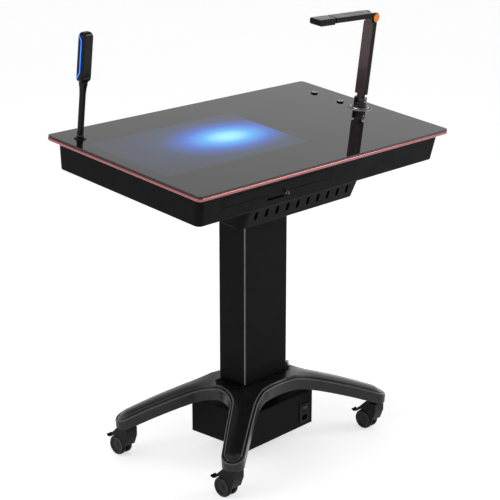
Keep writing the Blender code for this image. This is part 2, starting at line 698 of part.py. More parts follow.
def drawer_outline(clearance):
    """Front of the drawer with its pull tab and latch plate, as (x, z), grown by a clearance."""
    left = DRAWER_X - DRAWER_WIDTH / 2 - clearance
    right = DRAWER_X + DRAWER_WIDTH / 2 + clearance
    bottom = DRAWER_BOTTOM - clearance
    return [(left, bottom), (PULL_LEFT - clearance, bottom), (PULL_LEFT - clearance, PULL_BOTTOM - clearance),
            (LATCH_PLATE_LEFT - clearance, PULL_BOTTOM - clearance),
            (LATCH_PLATE_LEFT - clearance, LATCH_PLATE_BOTTOM - clearance),
            (PULL_RIGHT + clearance, LATCH_PLATE_BOTTOM - clearance), (PULL_RIGHT + clearance, bottom),
            (right, bottom), (right, DRAWER_TOP + clearance), (left, DRAWER_TOP + clearance)]


def housing_shape():
    def outline(half, shrink, radius):
        return rounded_rectangle(half[0] - shrink, half[1] - shrink, radius, 4)

    return skin([level(outline(HOUSING_BOTTOM_HALF, 0.004, 0.016), HOUSING_BOTTOM),
                 level(outline(HOUSING_BOTTOM_HALF, 0.0, 0.018), HOUSING_BOTTOM + 0.004),
                 level(outline(HOUSING_TOP_HALF, 0.0, 0.020), HOUSING_TOP),
                 level(outline(HOUSING_TOP_HALF, SHEET, 0.0175), HOUSING_TOP),
                 level(outline(HOUSING_BOTTOM_HALF, SHEET, 0.0155), HOUSING_BOTTOM + SHEET)])


def slanted_slot(x, y, height, way):
    """Cutter for one leaning vent slot."""
    outline = [(x - 0.0056, height - 0.013), (x + 0.0036, height - 0.013), (x + 0.0056, height + 0.013),
               (x - 0.0036, height + 0.013)]
    return extruded(outline, y, y + way * 0.06, "Y")


def make_housing(finishes, desk):
    housing = place("desk_housing", housing_shape(), finishes["black_coat"], desk)
    wall = front_face(DRAWER_BOTTOM)
    cut(housing, extruded(drawer_outline(0.0006), wall - 0.02, wall + 0.02, "Y"), desk)
    slot = block((PULL_LEFT - 0.0006, wall - 0.02, PULL_BOTTOM - 0.0065),
                 (LATCH_PLATE_LEFT + 0.001, wall + 0.02, PULL_BOTTOM + 0.001))
    cut(housing, slot, desk)
    cut(housing, block((-0.085, 0.095, HOUSING_BOTTOM - 0.01), (0.085, 0.165, HOUSING_BOTTOM + 0.01)), desk)

    top = HOUSING_BOTTOM - GAP

    def outline(half, shrink, radius):
        return rounded_rectangle(half[0] - shrink, half[1] - shrink, radius, 4, (TRAY_CENTRE_X, 0.0))

    shell = skin([level(outline(TRAY_BOTTOM_HALF, 0.004, 0.024), TRAY_BOTTOM),
                  level(outline(TRAY_BOTTOM_HALF, 0.0, 0.026), TRAY_BOTTOM + 0.004),
                  level(outline(TRAY_TOP_HALF, 0.0, 0.030), top),
                  level(outline(TRAY_TOP_HALF, 0.002, 0.028), top),
                  level(outline(TRAY_BOTTOM_HALF, 0.002, 0.024), TRAY_BOTTOM + 0.002)])
    tray = place("under_housing", shell, finishes["black_coat"], desk)
    vents = []
    for index in range(VENT_COUNT):
        x = TRAY_CENTRE_X + (index - (VENT_COUNT - 1) / 2) * VENT_PITCH
        vents.append(slanted_slot(x, -0.165, -0.166, -1))
        vents.append(slanted_slot(x, 0.165, -0.166, 1))
    cut(tray, gathered(vents), desk)
    clear = 0.004
    cut(tray, block((-SLEEVE[0] / 2 - clear, COLUMN_Y - SLEEVE[1] / 2 - clear, 0.76),
                    (SLEEVE[0] / 2 + clear, COLUMN_Y + SLEEVE[1] / 2 + clear, 0.88)))


def make_inside(finishes, desk):
    floor = HOUSING_BOTTOM + SHEET + GAP
    place("computer_module", soft_block((0.130, -0.220, floor), (0.400, 0.040, floor + 0.042), 0.003, 0.001, 1),
          finishes["module_case"], desk)
    place("control_board", block((0.470, 0.050, DECK_BOTTOM - 0.0045), (0.530, 0.210, DECK_BOTTOM - 0.0029)),
          finishes["board"], desk)
    for side, sign in (("left", -1), ("right", 1)):
        profile = [(0.2280, -0.0300), (0.2375, -0.0300), (0.2375, floor), (0.2240, floor),
                   (0.2240, floor + 0.002), (0.2355, floor + 0.002), (0.2355, -0.0500), (0.2280, -0.0500),
                   (0.2280, -0.0480), (0.2355, -0.0480), (0.2355, -0.0320), (0.2280, -0.0320)]
        rail = extruded([(DRAWER_X + sign * x, z) for x, z in profile], -0.272, -0.050, "Y")
        place(f"drawer_rail_{side}", rail, finishes["steel"], desk)


# ---- keyboard drawer ----

def sheared_front(thickness):
    """Drawer front that follows the housing's sloping face."""
    outline = drawer_outline(0.0)
    outer = [(x, front_face(z), z) for x, z in outline]
    inner = [(x, front_face(z) + thickness, z) for x, z in outline]
    return skin([outer, inner])


def make_drawer(finishes, desk):
    start = front_face(DRAWER_BOTTOM) + 0.0036
    left, right = DRAWER_X - TRAY_HALF, DRAWER_X + TRAY_HALF
    thin = 0.0015
    outer = [(left, start), (right, start), (right, DRAWER_BACK), (left, DRAWER_BACK)]
    inner = [(left + thin, start + thin), (right - thin, start + thin), (right - thin, DRAWER_BACK - thin),
             (left + thin, DRAWER_BACK - thin)]
    bottom, top = -0.0535, -0.0300
    tray = place("drawer_tray", skin([level(outer, bottom), level(outer, top), level(inner, top),
                                      level(inner, bottom + thin)]), finishes["black_coat"], desk)
    runners = []
    for sign in (-1, 1):
        span = sorted((DRAWER_X + sign * (TRAY_HALF - 0.001), DRAWER_X + sign * 0.2345))
        runners.append(block((span[0], -0.270, -0.0465), (span[1], DRAWER_BACK - 0.005, -0.0335)))
    join(tray, gathered(runners), desk)
    front = place("drawer_front", sheared_front(0.0030), finishes["black_coat"], desk)
    latch_x, latch_z = LATCH_AT
    face = front_face(latch_z)
    cut(front, rod("Y", 0.0034, face - 0.02, face + 0.02, LATCH_AT, 12), desk)

    keys_low = start + 0.008
    keyboard_low = bottom + thin + GAP
    place("keyboard", soft_block((DRAWER_X - 0.210, keys_low, keyboard_low),
                                 (DRAWER_X + 0.210, keys_low + 0.135, keyboard_low + 0.0095), 0.004, 0.001, 2),
          finishes["black_plastic"], desk)
    pitch = 0.0195
    keys = []
    height = keyboard_low + 0.0095 + GAP
    mat = block((DRAWER_X - 0.200, keys_low + 0.008, height), (DRAWER_X + 0.200, keys_low + 0.126, height + 0.0008))
    key_mat = place("keyboard_keys", mat, finishes["key_plastic"], desk)
    for row in range(5):
        y = keys_low + 0.012 + row * 0.0225
        columns = [(index, 1) for index in range(20)]
        if row == 0:
            columns = [(0, 2), (2, 1), (3, 7), (10, 1), (11, 2), (14, 1), (15, 1), (16, 1), (18, 2)]
        for index, width in columns:
            x = DRAWER_X - 0.195 + index * pitch
            keys.append(block((x + 0.001, y, height + 0.0004),
                              (x + pitch * width - 0.0015, y + 0.019, height + 0.0038)))
    join(key_mat, gathered(keys), desk)

    latch = place("drawer_latch", rod("Y", 0.0060, face - 0.0045, face - 0.0010, LATCH_AT, 16),
                  finishes["light_metal"], desk, (latch_x, face, latch_z))
    join(latch, rod("Y", 0.0030, face - 0.002, face + 0.0075, LATCH_AT, 12), desk)
    join(latch, block((latch_x - 0.0016, face - 0.0110, latch_z - 0.0052),
                      (latch_x + 0.0016, face - 0.0030, latch_z + 0.0052)), desk)
    join(latch, block((latch_x - 0.0043, face + 0.0042, latch_z - 0.0038),
                      (latch_x + 0.0170, face + 0.0060, latch_z + 0.0038)), desk)


# ---- microphone and knobs ----

def make_microphone(finishes, desk):
    at = (MIC_AT[0], MIC_AT[1], 0)
    top = GLASS_TOP + GAP
    ring = turned([(0.0180, GLASS_BOTTOM), (0.0180, top + 0.0018), (0.0165, top + 0.0030), (0.0086, top + 0.0030),
                   (0.0086, -0.0100), (0.0097, -0.0100), (0.0097, GLASS_BOTTOM)], 20, ring=True)
    place("mic_socket", moved(ring, at), finishes["chrome"], desk)
    foot = top + 0.0030 + GAP
    pole = turned([(0.0082, -0.0120), (0.0082, foot), (0.0112, foot), (0.0112, foot + 0.004),
                   (0.0095, foot + 0.010), (0.0095, 0.140), (0.0108, 0.158), (0.0132, 0.170),
                   (0.0132, MIC_POLE_TOP)], 20)
    pole_object = place("mic_pole", moved(pole, at), finishes["black_plastic"], desk, at)
    pole_object.data.shade_smooth()
    low = MIC_POLE_TOP + GAP
    sections = [(low, 0.0130, 0.0100, 0.0050), (low + 0.004, 0.0185, 0.0125, 0.0065),
                (low + 0.010, 0.0200, 0.0140, 0.0080), (MIC_HEAD_TOP - 0.016, 0.0200, 0.0140, 0.0080),
                (MIC_HEAD_TOP - 0.009, 0.0190, 0.0130, 0.0080), (MIC_HEAD_TOP - 0.003, 0.0155, 0.0100, 0.0065),
                (MIC_HEAD_TOP, 0.0090, 0.0050, 0.0030)]
    loops = [level(rounded_rectangle(half_x, half_y, radius, 4, MIC_AT), height)
             for height, half_x, half_y, radius in sections]
    place("mic_head", skin(loops), finishes["black_plastic"], desk, at)
    path = [(0.0050, 0.0), (-0.0060, 0.018), (-0.0060, 0.112), (0.0050, 0.126)]
    wide = 0.0030
    band = [(y, low + z + 0.010) for y, z in path]
    back = [(y + wide, z + shift) for (y, z), shift in zip(band, (0.001, 0.0012, -0.0012, -0.001))]
    for side, sign in (("left", -1), ("right", 1)):
        span = sorted((sign * 0.0203, sign * 0.0214))
        outline = [(MIC_AT[1] + y, z) for y, z in band + back[::-1]]
        strip = extruded(outline, MIC_AT[0] + span[0], MIC_AT[0] + span[1], "X")
        place(f"mic_light_{side}", strip, finishes["blue_light"], desk, at)


def make_knobs(finishes, desk):
    top = GLASS_TOP + 0.0053
    for name, (x, y) in KNOBS.items():
        knob = turned([(0.0030, DECK_BOTTOM - 0.0018), (0.0030, GLASS_BOTTOM), (0.0115, GLASS_BOTTOM),
                       (0.0115, top - 0.0014), (0.0100, top)], 20)
        place(name, moved(knob, (x, y, 0)), finishes["chrome"], desk, (x, y, 0))


# ---- document camera ----

def tongue(length, radius, centre_z, up=True):
    """Outline in (x, z): a round end about the centre and a straight neck of the given length."""
    x = CAMERA_AT[0]
    neck = min(radius, ARM_THICK / 2)
    if up:
        return arc((x, centre_z), radius, 180, 360, 8) + [(x + neck, centre_z + length),
                                                          (x - neck, centre_z + length)]
    return arc((x, centre_z), radius, -10, 190, 8) + [(x - neck, centre_z - 0.0100), (x - neck, centre_z - length),
                                                      (x + neck, centre_z - length), (x + neck, centre_z - 0.0100)]


def make_camera_foot(finishes, desk):
    at = (CAMERA_AT[0], CAMERA_AT[1], 0)
    low = GLASS_TOP + GAP
    ring = turned([(0.0405, GLASS_BOTTOM), (0.0405, low + 0.0010), (0.0310, low + 0.0014),
                   (0.0290, low + 0.0040), (0.0158, low + 0.0040), (0.0158, -0.0120), (0.0195, -0.0120),
                   (0.0195, GLASS_BOTTOM)], 32, ring=True)
    place("camera_ring", moved(ring, at), finishes["chrome"], desk)
    foot = low + 0.0040 + GAP
    profile = [(0.0152, -0.0140), (0.0152, foot), (0.0215, foot)]
    for step in range(3):
        height = foot + 0.0030 + step * 0.0050
        profile += [(0.0215, height), (0.0200, height + 0.0010), (0.0200, height + 0.0020),
                    (0.0215, height + 0.0030)]
    profile += [(0.0215, 0.0420), (0.0200, 0.0440)]
    turret = place("camera_turret", moved(turned(profile, 24), at), finishes["black_plastic"], desk, at)
    cut(turret, block((CAMERA_AT[0] - 0.03, CAMERA_AT[1] - 0.0105, CAMERA_PIVOT - 0.0120),
                      (CAMERA_AT[0] + 0.03, CAMERA_AT[1] + 0.0105, 0.060)), desk)
    pin_at = (CAMERA_AT[0], CAMERA_PIVOT)
    middle = CAMERA_AT[1]
    cut(turret, rod("Y", 0.0040 + GAP, middle - 0.03, middle + 0.03, pin_at, 12), desk)
    place("tilt_pin", rod("Y", 0.0040, middle - 0.0205, middle + 0.0205, pin_at, 12), finishes["steel"], desk)


def make_lower_arm(finishes, desk):
    middle = CAMERA_AT[1]
    half = ARM_THICK / 2
    wide_low = CAMERA_PIVOT + 0.0235
    wide_high = CAMERA_ELBOW - 0.0168
    pivot = (CAMERA_AT[0], middle, CAMERA_PIVOT)
    outline = rounded_rectangle(half, ARM_HALF, 0.0025, 2, CAMERA_AT)
    arm = place("lower_arm", extruded(outline, wide_low, wide_high), finishes["black_plastic"], desk, pivot)
    join(arm, extruded(tongue(0.030, half, CAMERA_PIVOT), middle - 0.0101, middle + 0.0101, "Y"), desk)
    join(arm, extruded(tongue(0.022, 0.0122, CAMERA_ELBOW, up=False), middle - 0.0130, middle + 0.0130, "Y"), desk)
    bores = [rod("Y", 0.0045, middle - 0.03, middle + 0.03, (CAMERA_AT[0], height), 12)
             for height in (CAMERA_PIVOT, CAMERA_ELBOW)]
    cut(arm, gathered(bores), desk)
    face = CAMERA_AT[0] - half
    cover = extruded(rounded_rectangle(0.0190, (wide_high - wide_low) / 2 - 0.003, 0.003, 2,
                                       (middle, (wide_low + wide_high) / 2)), face - 0.0018, face - GAP, "X")
    place("lower_arm_cover", cover, finishes["bronze"], desk, pivot)


def elbow_cheek():
    """Outline in (x, z) of the upper arm's cheek, about the elbow pin."""
    body_low = UPPER_ARM_AXIS - ARM_THICK / 2
    body_high = UPPER_ARM_AXIS + ARM_THICK / 2 - 0.0015
    return arc((0, 0), 0.0160, -90, 80, 9) + [(-0.008, body_high), (-0.032, body_high), (-0.032, body_low),
                                              (-0.0165, body_low), (-0.0125, -0.0090), (-0.0070, -0.0145)]


def make_upper_arm(finishes, desk):
    elbow = frame("elbow_frame", (CAMERA_AT[0], CAMERA_AT[1], CAMERA_ELBOW), (0, UPPER_ARM_RISE, 0), desk)
    low = UPPER_ARM_AXIS - ARM_THICK / 2
    high = UPPER_ARM_AXIS + ARM_THICK / 2
    skin_top = high - 0.0015
    start = -0.0155

    def bar(x0, x1, height):
        outline = [(y, z) for y, z in rounded_rectangle(ARM_HALF, (height - low) / 2, 0.0022, 2,
                                                         (0, (height + low) / 2))]
        return extruded(outline, x0, x1, "X")

    arm = place("upper_arm", bar(UPPER_ARM_END, start, skin_top), finishes["black_plastic"], elbow)
    cheeks = [extruded(elbow_cheek(), *sorted((sign * 0.0135, sign * ARM_HALF)), "Y") for sign in (-1, 1)]
    join(arm, gathered(cheeks), elbow)
    cut(arm, rod("Y", 0.0043, -0.03, 0.03, (0, 0), 12), elbow)
    cut(arm, rod("X", 0.0064, UPPER_ARM_END - 0.005, UPPER_ARM_END + 0.0145, (0, UPPER_ARM_AXIS), 12), elbow)
    cover = extruded(rounded_rectangle(-(UPPER_ARM_END + 0.0175) / 2, ARM_HALF - 0.0010, 0.002, 2,
                                       ((UPPER_ARM_END - 0.0175) / 2, 0)), skin_top + GAP, high)
    place("upper_arm_cover", cover, finishes["light_metal"], elbow)
    spool = turned([(0.0140, -0.0232), (0.0140, -0.0213), (0.0040, -0.0213), (0.0040, 0.0213),
                    (0.0140, 0.0213), (0.0140, 0.0232)], 20)
    place("elbow_pin", turned_to(spool, "Y"), finishes["orange"], elbow)

    axis_at = (0, 0, UPPER_ARM_AXIS)
    base = low - HEAD_DEPTH
    side = [(HEAD_END, skin_top), (HEAD_END, base + 0.0090), (HEAD_END + 0.0025, base + 0.0035),
            (HEAD_END + 0.0090, base), (HEAD_START, base), (HEAD_START, skin_top)]
    head = place("camera_head", extruded(side, -ARM_HALF, ARM_HALF, "Y"), finishes["black_plastic"], elbow, axis_at)
    join(head, rod("X", 0.0060, HEAD_START - 0.004, UPPER_ARM_END + 0.0125, (0, UPPER_ARM_AXIS), 12), elbow)
    lens_x = HEAD_END + 0.030
    join(head, rod("Z", 0.0140, base - 0.0022, base + 0.002, (lens_x, 0), 20), elbow)
    cut(head, rod("Z", 0.0080, base - 0.01, base + 0.0035, (lens_x, 0), 16), elbow)
    place("camera_lens", rod("Z", 0.0077, base - 0.0012, base + 0.0032, (lens_x, 0), 16), finishes["lens"], elbow,
          axis_at)
    head_cover = extruded(rounded_rectangle((HEAD_START - HEAD_END) / 2 - 0.001, ARM_HALF - 0.0010, 0.002, 2,
                                            ((HEAD_START + HEAD_END) / 2, 0)), skin_top + GAP, high)
    place("head_cover", head_cover, finishes["light_metal"], elbow, axis_at)


def centre_on_origin():
    for item in bpy.data.objects:
        if item.parent is None:
            item.location.y += DEPTH_SHIFT


def main():
    clear_scene()
    finishes = make_materials()
    desk = frame("desk_frame", (0, 0, DESK_HEIGHT), (DESK_TILT, 0, 0))
    make_base(finishes)
    make_column(finishes, desk)
    make_equipment_box(finishes)
    make_inlet(finishes)
    make_casters(finishes)
    make_top(finishes, desk)
    make_housing(finishes, desk)
    make_inside(finishes, desk)
    make_drawer(finishes, desk)
    make_microphone(finishes, desk)
    make_knobs(finishes, desk)
    make_camera_foot(finishes, desk)
    make_lower_arm(finishes, desk)
    make_upper_arm(finishes, desk)
    centre_on_origin()


main()
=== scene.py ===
import json
import math

import bmesh
import bpy
from mathutils import Matrix, Vector


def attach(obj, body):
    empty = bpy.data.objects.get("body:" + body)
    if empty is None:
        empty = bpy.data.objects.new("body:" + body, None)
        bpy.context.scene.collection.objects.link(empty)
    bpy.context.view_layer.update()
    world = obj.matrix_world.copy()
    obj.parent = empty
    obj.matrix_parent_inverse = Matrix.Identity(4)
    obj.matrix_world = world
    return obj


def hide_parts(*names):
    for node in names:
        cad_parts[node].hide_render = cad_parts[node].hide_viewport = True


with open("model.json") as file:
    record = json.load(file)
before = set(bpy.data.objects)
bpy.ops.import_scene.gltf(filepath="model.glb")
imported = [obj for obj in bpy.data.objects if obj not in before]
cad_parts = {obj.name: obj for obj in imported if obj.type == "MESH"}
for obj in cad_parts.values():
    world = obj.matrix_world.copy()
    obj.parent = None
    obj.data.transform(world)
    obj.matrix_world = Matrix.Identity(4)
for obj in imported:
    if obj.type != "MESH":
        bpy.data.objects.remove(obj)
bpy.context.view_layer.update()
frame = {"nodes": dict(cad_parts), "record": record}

NODE_BODY = {node: body for body, nodes in frame["record"]["behaviour"]["bodies"].items() for node in nodes}

# ---- sizes, in metres, the same as the CAD model's ----
SHIFT = -0.0110
TILT = math.radians(7.48)
WORLD = Matrix.Translation((0.0, SHIFT, 0.0))
DESK = WORLD @ Matrix.Translation((0.0, 0.0, 1.022)) @ Matrix.Rotation(TILT, 4, "X")
CAMERA_AT = (0.500, -0.002)
CAMERA_PIVOT = 0.032
CAMERA_ELBOW = 0.312
ARM_LEAN = math.radians(1.2)
ELBOW = DESK @ Matrix.Translation((*CAMERA_AT, CAMERA_ELBOW)) @ Matrix.Rotation(ARM_LEAN, 4, "Y")
ARM_THICK = 0.018
ARM_AXIS = 0.0080
HEAD_DEPTH = 0.0035
HEAD_END = -0.2856
LENS_FROM_END = 0.030
LENS_DROP = 0.0012
RING_RISE = 0.0040
TURRET_TOP = 0.0440
MIC_AT = (-0.514, 0.231)
MIC_POLE_TOP = 0.178
MIC_HEAD_TOP = 0.323
KNOBS = {"volume_knob": (0.494, 0.186), "menu_knob": (0.493, 0.074)}
GAP = 0.0003
DESK_HALF = (0.575, 0.310)
DESK_CORNER = 0.014
GLASS_TOP = 0.0078
GLASS_BOTTOM = 0.0025
TRIM_BOTTOM = -0.0085
TRIM_INNER = 0.0080
TRIM_ROUND = 0.0040
HOLE_CAMERA = 0.0411
HOLE_MIC = 0.0184
HOLE_KNOB = 0.0119
DECK_BOTTOM = -0.0085
HOUSING_TOP = DECK_BOTTOM - GAP
HOUSING_BOTTOM = -0.0953
HOUSING_TOP_HALF = (0.5505, 0.291)
HOUSING_BOTTOM_HALF = (0.5425, 0.284)
HOUSING_WALL = 0.0025
CABLE_HOLE = ((-0.085, 0.095), (0.085, 0.165))
TRAY_BOTTOM = -0.203
TRAY_WALL = 0.002
TRAY_CENTRE_X = 0.0212
TRAY_TOP_HALF = (0.2772, 0.2076)
TRAY_BOTTOM_HALF = (0.2682, 0.180)
VENT_COUNT = 10
VENT_PITCH = 0.0472
VENT_HEIGHT = -0.166
VENT_RADIUS = 0.0062
VENT_RISE = 0.0085
VENT_LEAN = -0.0030 / 0.026
DISPLAY_CENTRE = (-0.2335, 0.0165)
DISPLAY_HALF = (0.2985, 0.1635)
DRAWER_X = -0.223
DRAWER_WIDTH = 0.468
DRAWER_TOP = -0.0260
DRAWER_BOTTOM = -0.0550
PULL_LEFT = -0.2655
PULL_RIGHT = -0.1780
PULL_BOTTOM = -0.0665
LATCH_AT = (-0.1870, -0.0600)
LATCH_LEFT = -0.1955
LATCH_BOTTOM = -0.0718
DRAWER_PLAY = 0.0014
DRAWER_THICK = 0.0030
COLUMN_Y = 0.0167
SLEEVE = (0.2000, 0.1100)
SLEEVE_BOTTOM = 0.2410
SLEEVE_TOP = 0.8700
SLEEVE_CORNER = 0.0060
MAST = (0.170, 0.0776)
MAST_TOP = 0.800
TUBE_WALL = 0.003
HUB_TOP = 0.236
PLATE_HALF = (0.132, 0.050)
BOLT_PLACE = (0.121, 0.039)
LOW_BOLT = 0.0065
TALL_BOLT = 0.0205
LEG_ANGLE = math.radians(33.6)
LEG_REACH = 0.412
LEG_HALF = 0.036
LEG_WALL = 0.045
LEG_STRAIGHT = 0.018
CROWN_RISE = 0.0030
LEG_TIP_BOTTOM = 0.100
SIDE_FILLET = (0.257, 0.100)
LONG_FILLET = (0.407, 0.297)
WHEEL_RADIUS = 0.032
TRAIL = 0.030
FORK_TOP = 0.0985
STEM_RADIUS = 0.0054
PEDAL_PIVOT = (0.052, 0.0640)
HUB_DISC = 0.0272
VIEW_PLACE = (-3.3289, -2.9547 + SHIFT, 2.0018)
VIEW_DOWN = 16.855
VIEW_TURN = 48.12
VIEW_LENS = 107.56


# ---- materials ----

def linked(tree, start, end):
    tree.links.new(start, end)


def new_material(name):
    made = bpy.data.materials.new(name)
    made.use_nodes = True
    return made, made.node_tree, made.node_tree.nodes["Principled BSDF"]


def noise(tree, scale, detail=3.0, stretch=None):
    """Noise in the piece's own coordinates, optionally stretched along an axis."""
    place = tree.nodes.new("ShaderNodeTexCoord")
    out = tree.nodes.new("ShaderNodeTexNoise")
    out.inputs["Scale"].default_value = scale
    out.inputs["Detail"].default_value = detail
    if stretch:
        mapping = tree.nodes.new("ShaderNodeMapping")
        mapping.inputs["Scale"].default_value = stretch
        linked(tree, place.outputs["Object"], mapping.inputs["Vector"])
        linked(tree, mapping.outputs["Vector"], out.inputs["Vector"])
    else:
        linked(tree, place.outputs["Object"], out.inputs["Vector"])
    return out.outputs["Fac"]


def maths(tree, operation, *values):
    node = tree.nodes.new("ShaderNodeMath")
    node.operation = operation
    for index, value in enumerate(values):
        if isinstance(value, (int, float)):
            node.inputs[index].default_value = value
        else:
            linked(tree, value, node.inputs[index])
    return node.outputs["Value"]


def ranged(tree, value, low, high, start=0.3, end=0.7):
    """Carry a value from one range to another, held at both ends."""
    node = tree.nodes.new("ShaderNodeMapRange")
    node.inputs["From Min"].default_value = start
    node.inputs["From Max"].default_value = end
    node.inputs["To Min"].default_value = low
    node.inputs["To Max"].default_value = high
    linked(tree, value, node.inputs["Value"])
    return node.outputs["Result"]


def tinted(tree, value, dark, light):
    node = tree.nodes.new("ShaderNodeMix")
    node.data_type = "RGBA"
    node.inputs[6].default_value = (*dark, 1.0)
    node.inputs[7].default_value = (*light, 1.0)
    linked(tree, value, node.inputs[0])
    return node.outputs[2]


def bumped(tree, shader, value, strength, distance):
    node = tree.nodes.new("ShaderNodeBump")
    node.inputs["Strength"].default_value = strength
    node.inputs["Distance"].default_value = distance
    linked(tree, value, node.inputs["Height"])
    linked(tree, node.outputs["Normal"], shader.inputs["Normal"])


def surface(name, colour, roughness, metallic=0.0, specular=0.5, grain=0.0, grain_size=700.0, spread=0.05,
            mottle=0.15, coat=0.0, stretch=None):
    """Uneven roughness, a slight change of tone and a fine grain over one base colour."""
    made, tree, shader = new_material(name)
    shader.inputs["Metallic"].default_value = metallic
    shader.inputs["Specular IOR Level"].default_value = specular
    shader.inputs["Coat Weight"].default_value = coat
    shader.inputs["Coat Roughness"].default_value = 0.08
    soft = noise(tree, 14.0, 4.0)
    linked(tree, ranged(tree, soft, roughness - spread, roughness + spread), shader.inputs["Roughness"])
    dark = tuple(part * (1.0 - mottle) for part in colour)
    light = tuple(min(1.0, part * (1.0 + mottle)) for part in colour)
    linked(tree, tinted(tree, ranged(tree, noise(tree, 38.0, 5.0), 0.0, 1.0), dark, light),
           shader.inputs["Base Color"])
    if grain:
        bumped(tree, shader, noise(tree, grain_size, 2.0, stretch), grain, 0.0004)
    return made


def bell(tree, value, middle, width):
    """Smooth hump of height one."""
    offset = maths(tree, "DIVIDE", maths(tree, "SUBTRACT", value, middle), width)
    square = maths(tree, "MULTIPLY", offset, offset)
    return maths(tree, "POWER", math.e, maths(tree, "MULTIPLY", square, -1.0))


def display_place(tree):
    """Where a point lies on the display: from -1 to 1 across it and along it."""
    place = tree.nodes.new("ShaderNodeTexCoord")
    mapping = tree.nodes.new("ShaderNodeMapping")
    mapping.vector_type = "TEXTURE"
    mapping.inputs["Location"].default_value = DESK @ Vector((*DISPLAY_CENTRE, GLASS_TOP))
    mapping.inputs["Rotation"].default_value = (TILT, 0.0, 0.0)
    mapping.inputs["Scale"].default_value = (*DISPLAY_HALF, 1.0)
    linked(tree, place.outputs["Object"], mapping.inputs["Vector"])
    split = tree.nodes.new("ShaderNodeSeparateXYZ")
    linked(tree, mapping.outputs["Vector"], split.inputs["Vector"])
    return split.outputs["X"], split.outputs["Y"]


DISPLAY_COLOURS = ((0.0, (0.0070, 0.0100, 0.0230)), (0.16, (0.008, 0.026, 0.092)),
                   (0.42, (0.010, 0.100, 0.52)), (0.74, (0.040, 0.36, 0.84)), (1.0, (0.30, 0.78, 0.95)))


def colour_ramp(tree, value, stops):
    """Colours between the first and the last stop, which lie at 0 and 1."""
    ramp = tree.nodes.new("ShaderNodeValToRGB")
    elements = ramp.color_ramp.elements
    elements[0].color = (*stops[0][1], 1.0)
    elements[1].color = (*stops[-1][1], 1.0)
    for position, colour in stops[1:-1]:
        elements.new(position).color = (*colour, 1.0)
    linked(tree, value, ramp.inputs["Fac"])
    return ramp.outputs["Color"]


def glass_material():
    """Black glass with the lit display behind it: one soft blue glow over a dark blue ground."""
    made, tree, shader = new_material("black_glass_lit")
    shader.inputs["IOR"].default_value = 1.52
    linked(tree, ranged(tree, noise(tree, 9.0, 5.0), 0.018, 0.045), shader.inputs["Roughness"])
    linked(tree, tinted(tree, noise(tree, 4.0), (0.0030, 0.0030, 0.0034), (0.0050, 0.0050, 0.0056)),
           shader.inputs["Base Color"])
    across, along = display_place(tree)
    inside = maths(tree, "MULTIPLY", ranged(tree, maths(tree, "ABSOLUTE", across), 1.0, 0.0, 0.992, 1.0),
                   ranged(tree, maths(tree, "ABSOLUTE", along), 1.0, 0.0, 0.986, 1.0))
    core = maths(tree, "MULTIPLY", bell(tree, across, 0.40, 0.52), bell(tree, along, 0.0, 0.50))
    haze = maths(tree, "MULTIPLY", bell(tree, across, 0.30, 0.95), bell(tree, along, 0.0, 0.85))
    light = maths(tree, "ADD", maths(tree, "MULTIPLY", core, 0.78), maths(tree, "MULTIPLY", haze, 0.22))
    linked(tree, colour_ramp(tree, light, DISPLAY_COLOURS), shader.inputs["Emission Color"])
    linked(tree, inside, shader.inputs["Emission Strength"])
    return made


def brushed(name, colour, roughness, stretch, depth=0.25):
    """Metal with fine lines drawn along one direction."""
    made, tree, shader = new_material(name)
    shader.inputs["Metallic"].default_value = 1.0
    lines = noise(tree, 260.0, 2.0, stretch)
    linked(tree, ranged(tree, lines, roughness - 0.07, roughness + 0.09), shader.inputs["Roughness"])
    dark = tuple(part * 0.88 for part in colour)
    linked(tree, tinted(tree, noise(tree, 20.0, 4.0), dark, colour), shader.inputs["Base Color"])
    bumped(tree, shader, lines, depth, 0.0002)
    return made


def glow(name, colour, strength):
    made, tree, shader = new_material(name)
    shader.inputs["Base Color"].default_value = (*colour, 1.0)
    shader.inputs["Roughness"].default_value = 0.25
    shader.inputs["Emission Color"].default_value = (*colour, 1.0)
    linked(tree, ranged(tree, noise(tree, 60.0), strength * 0.8, strength * 1.2),
           shader.inputs["Emission Strength"])
    return made


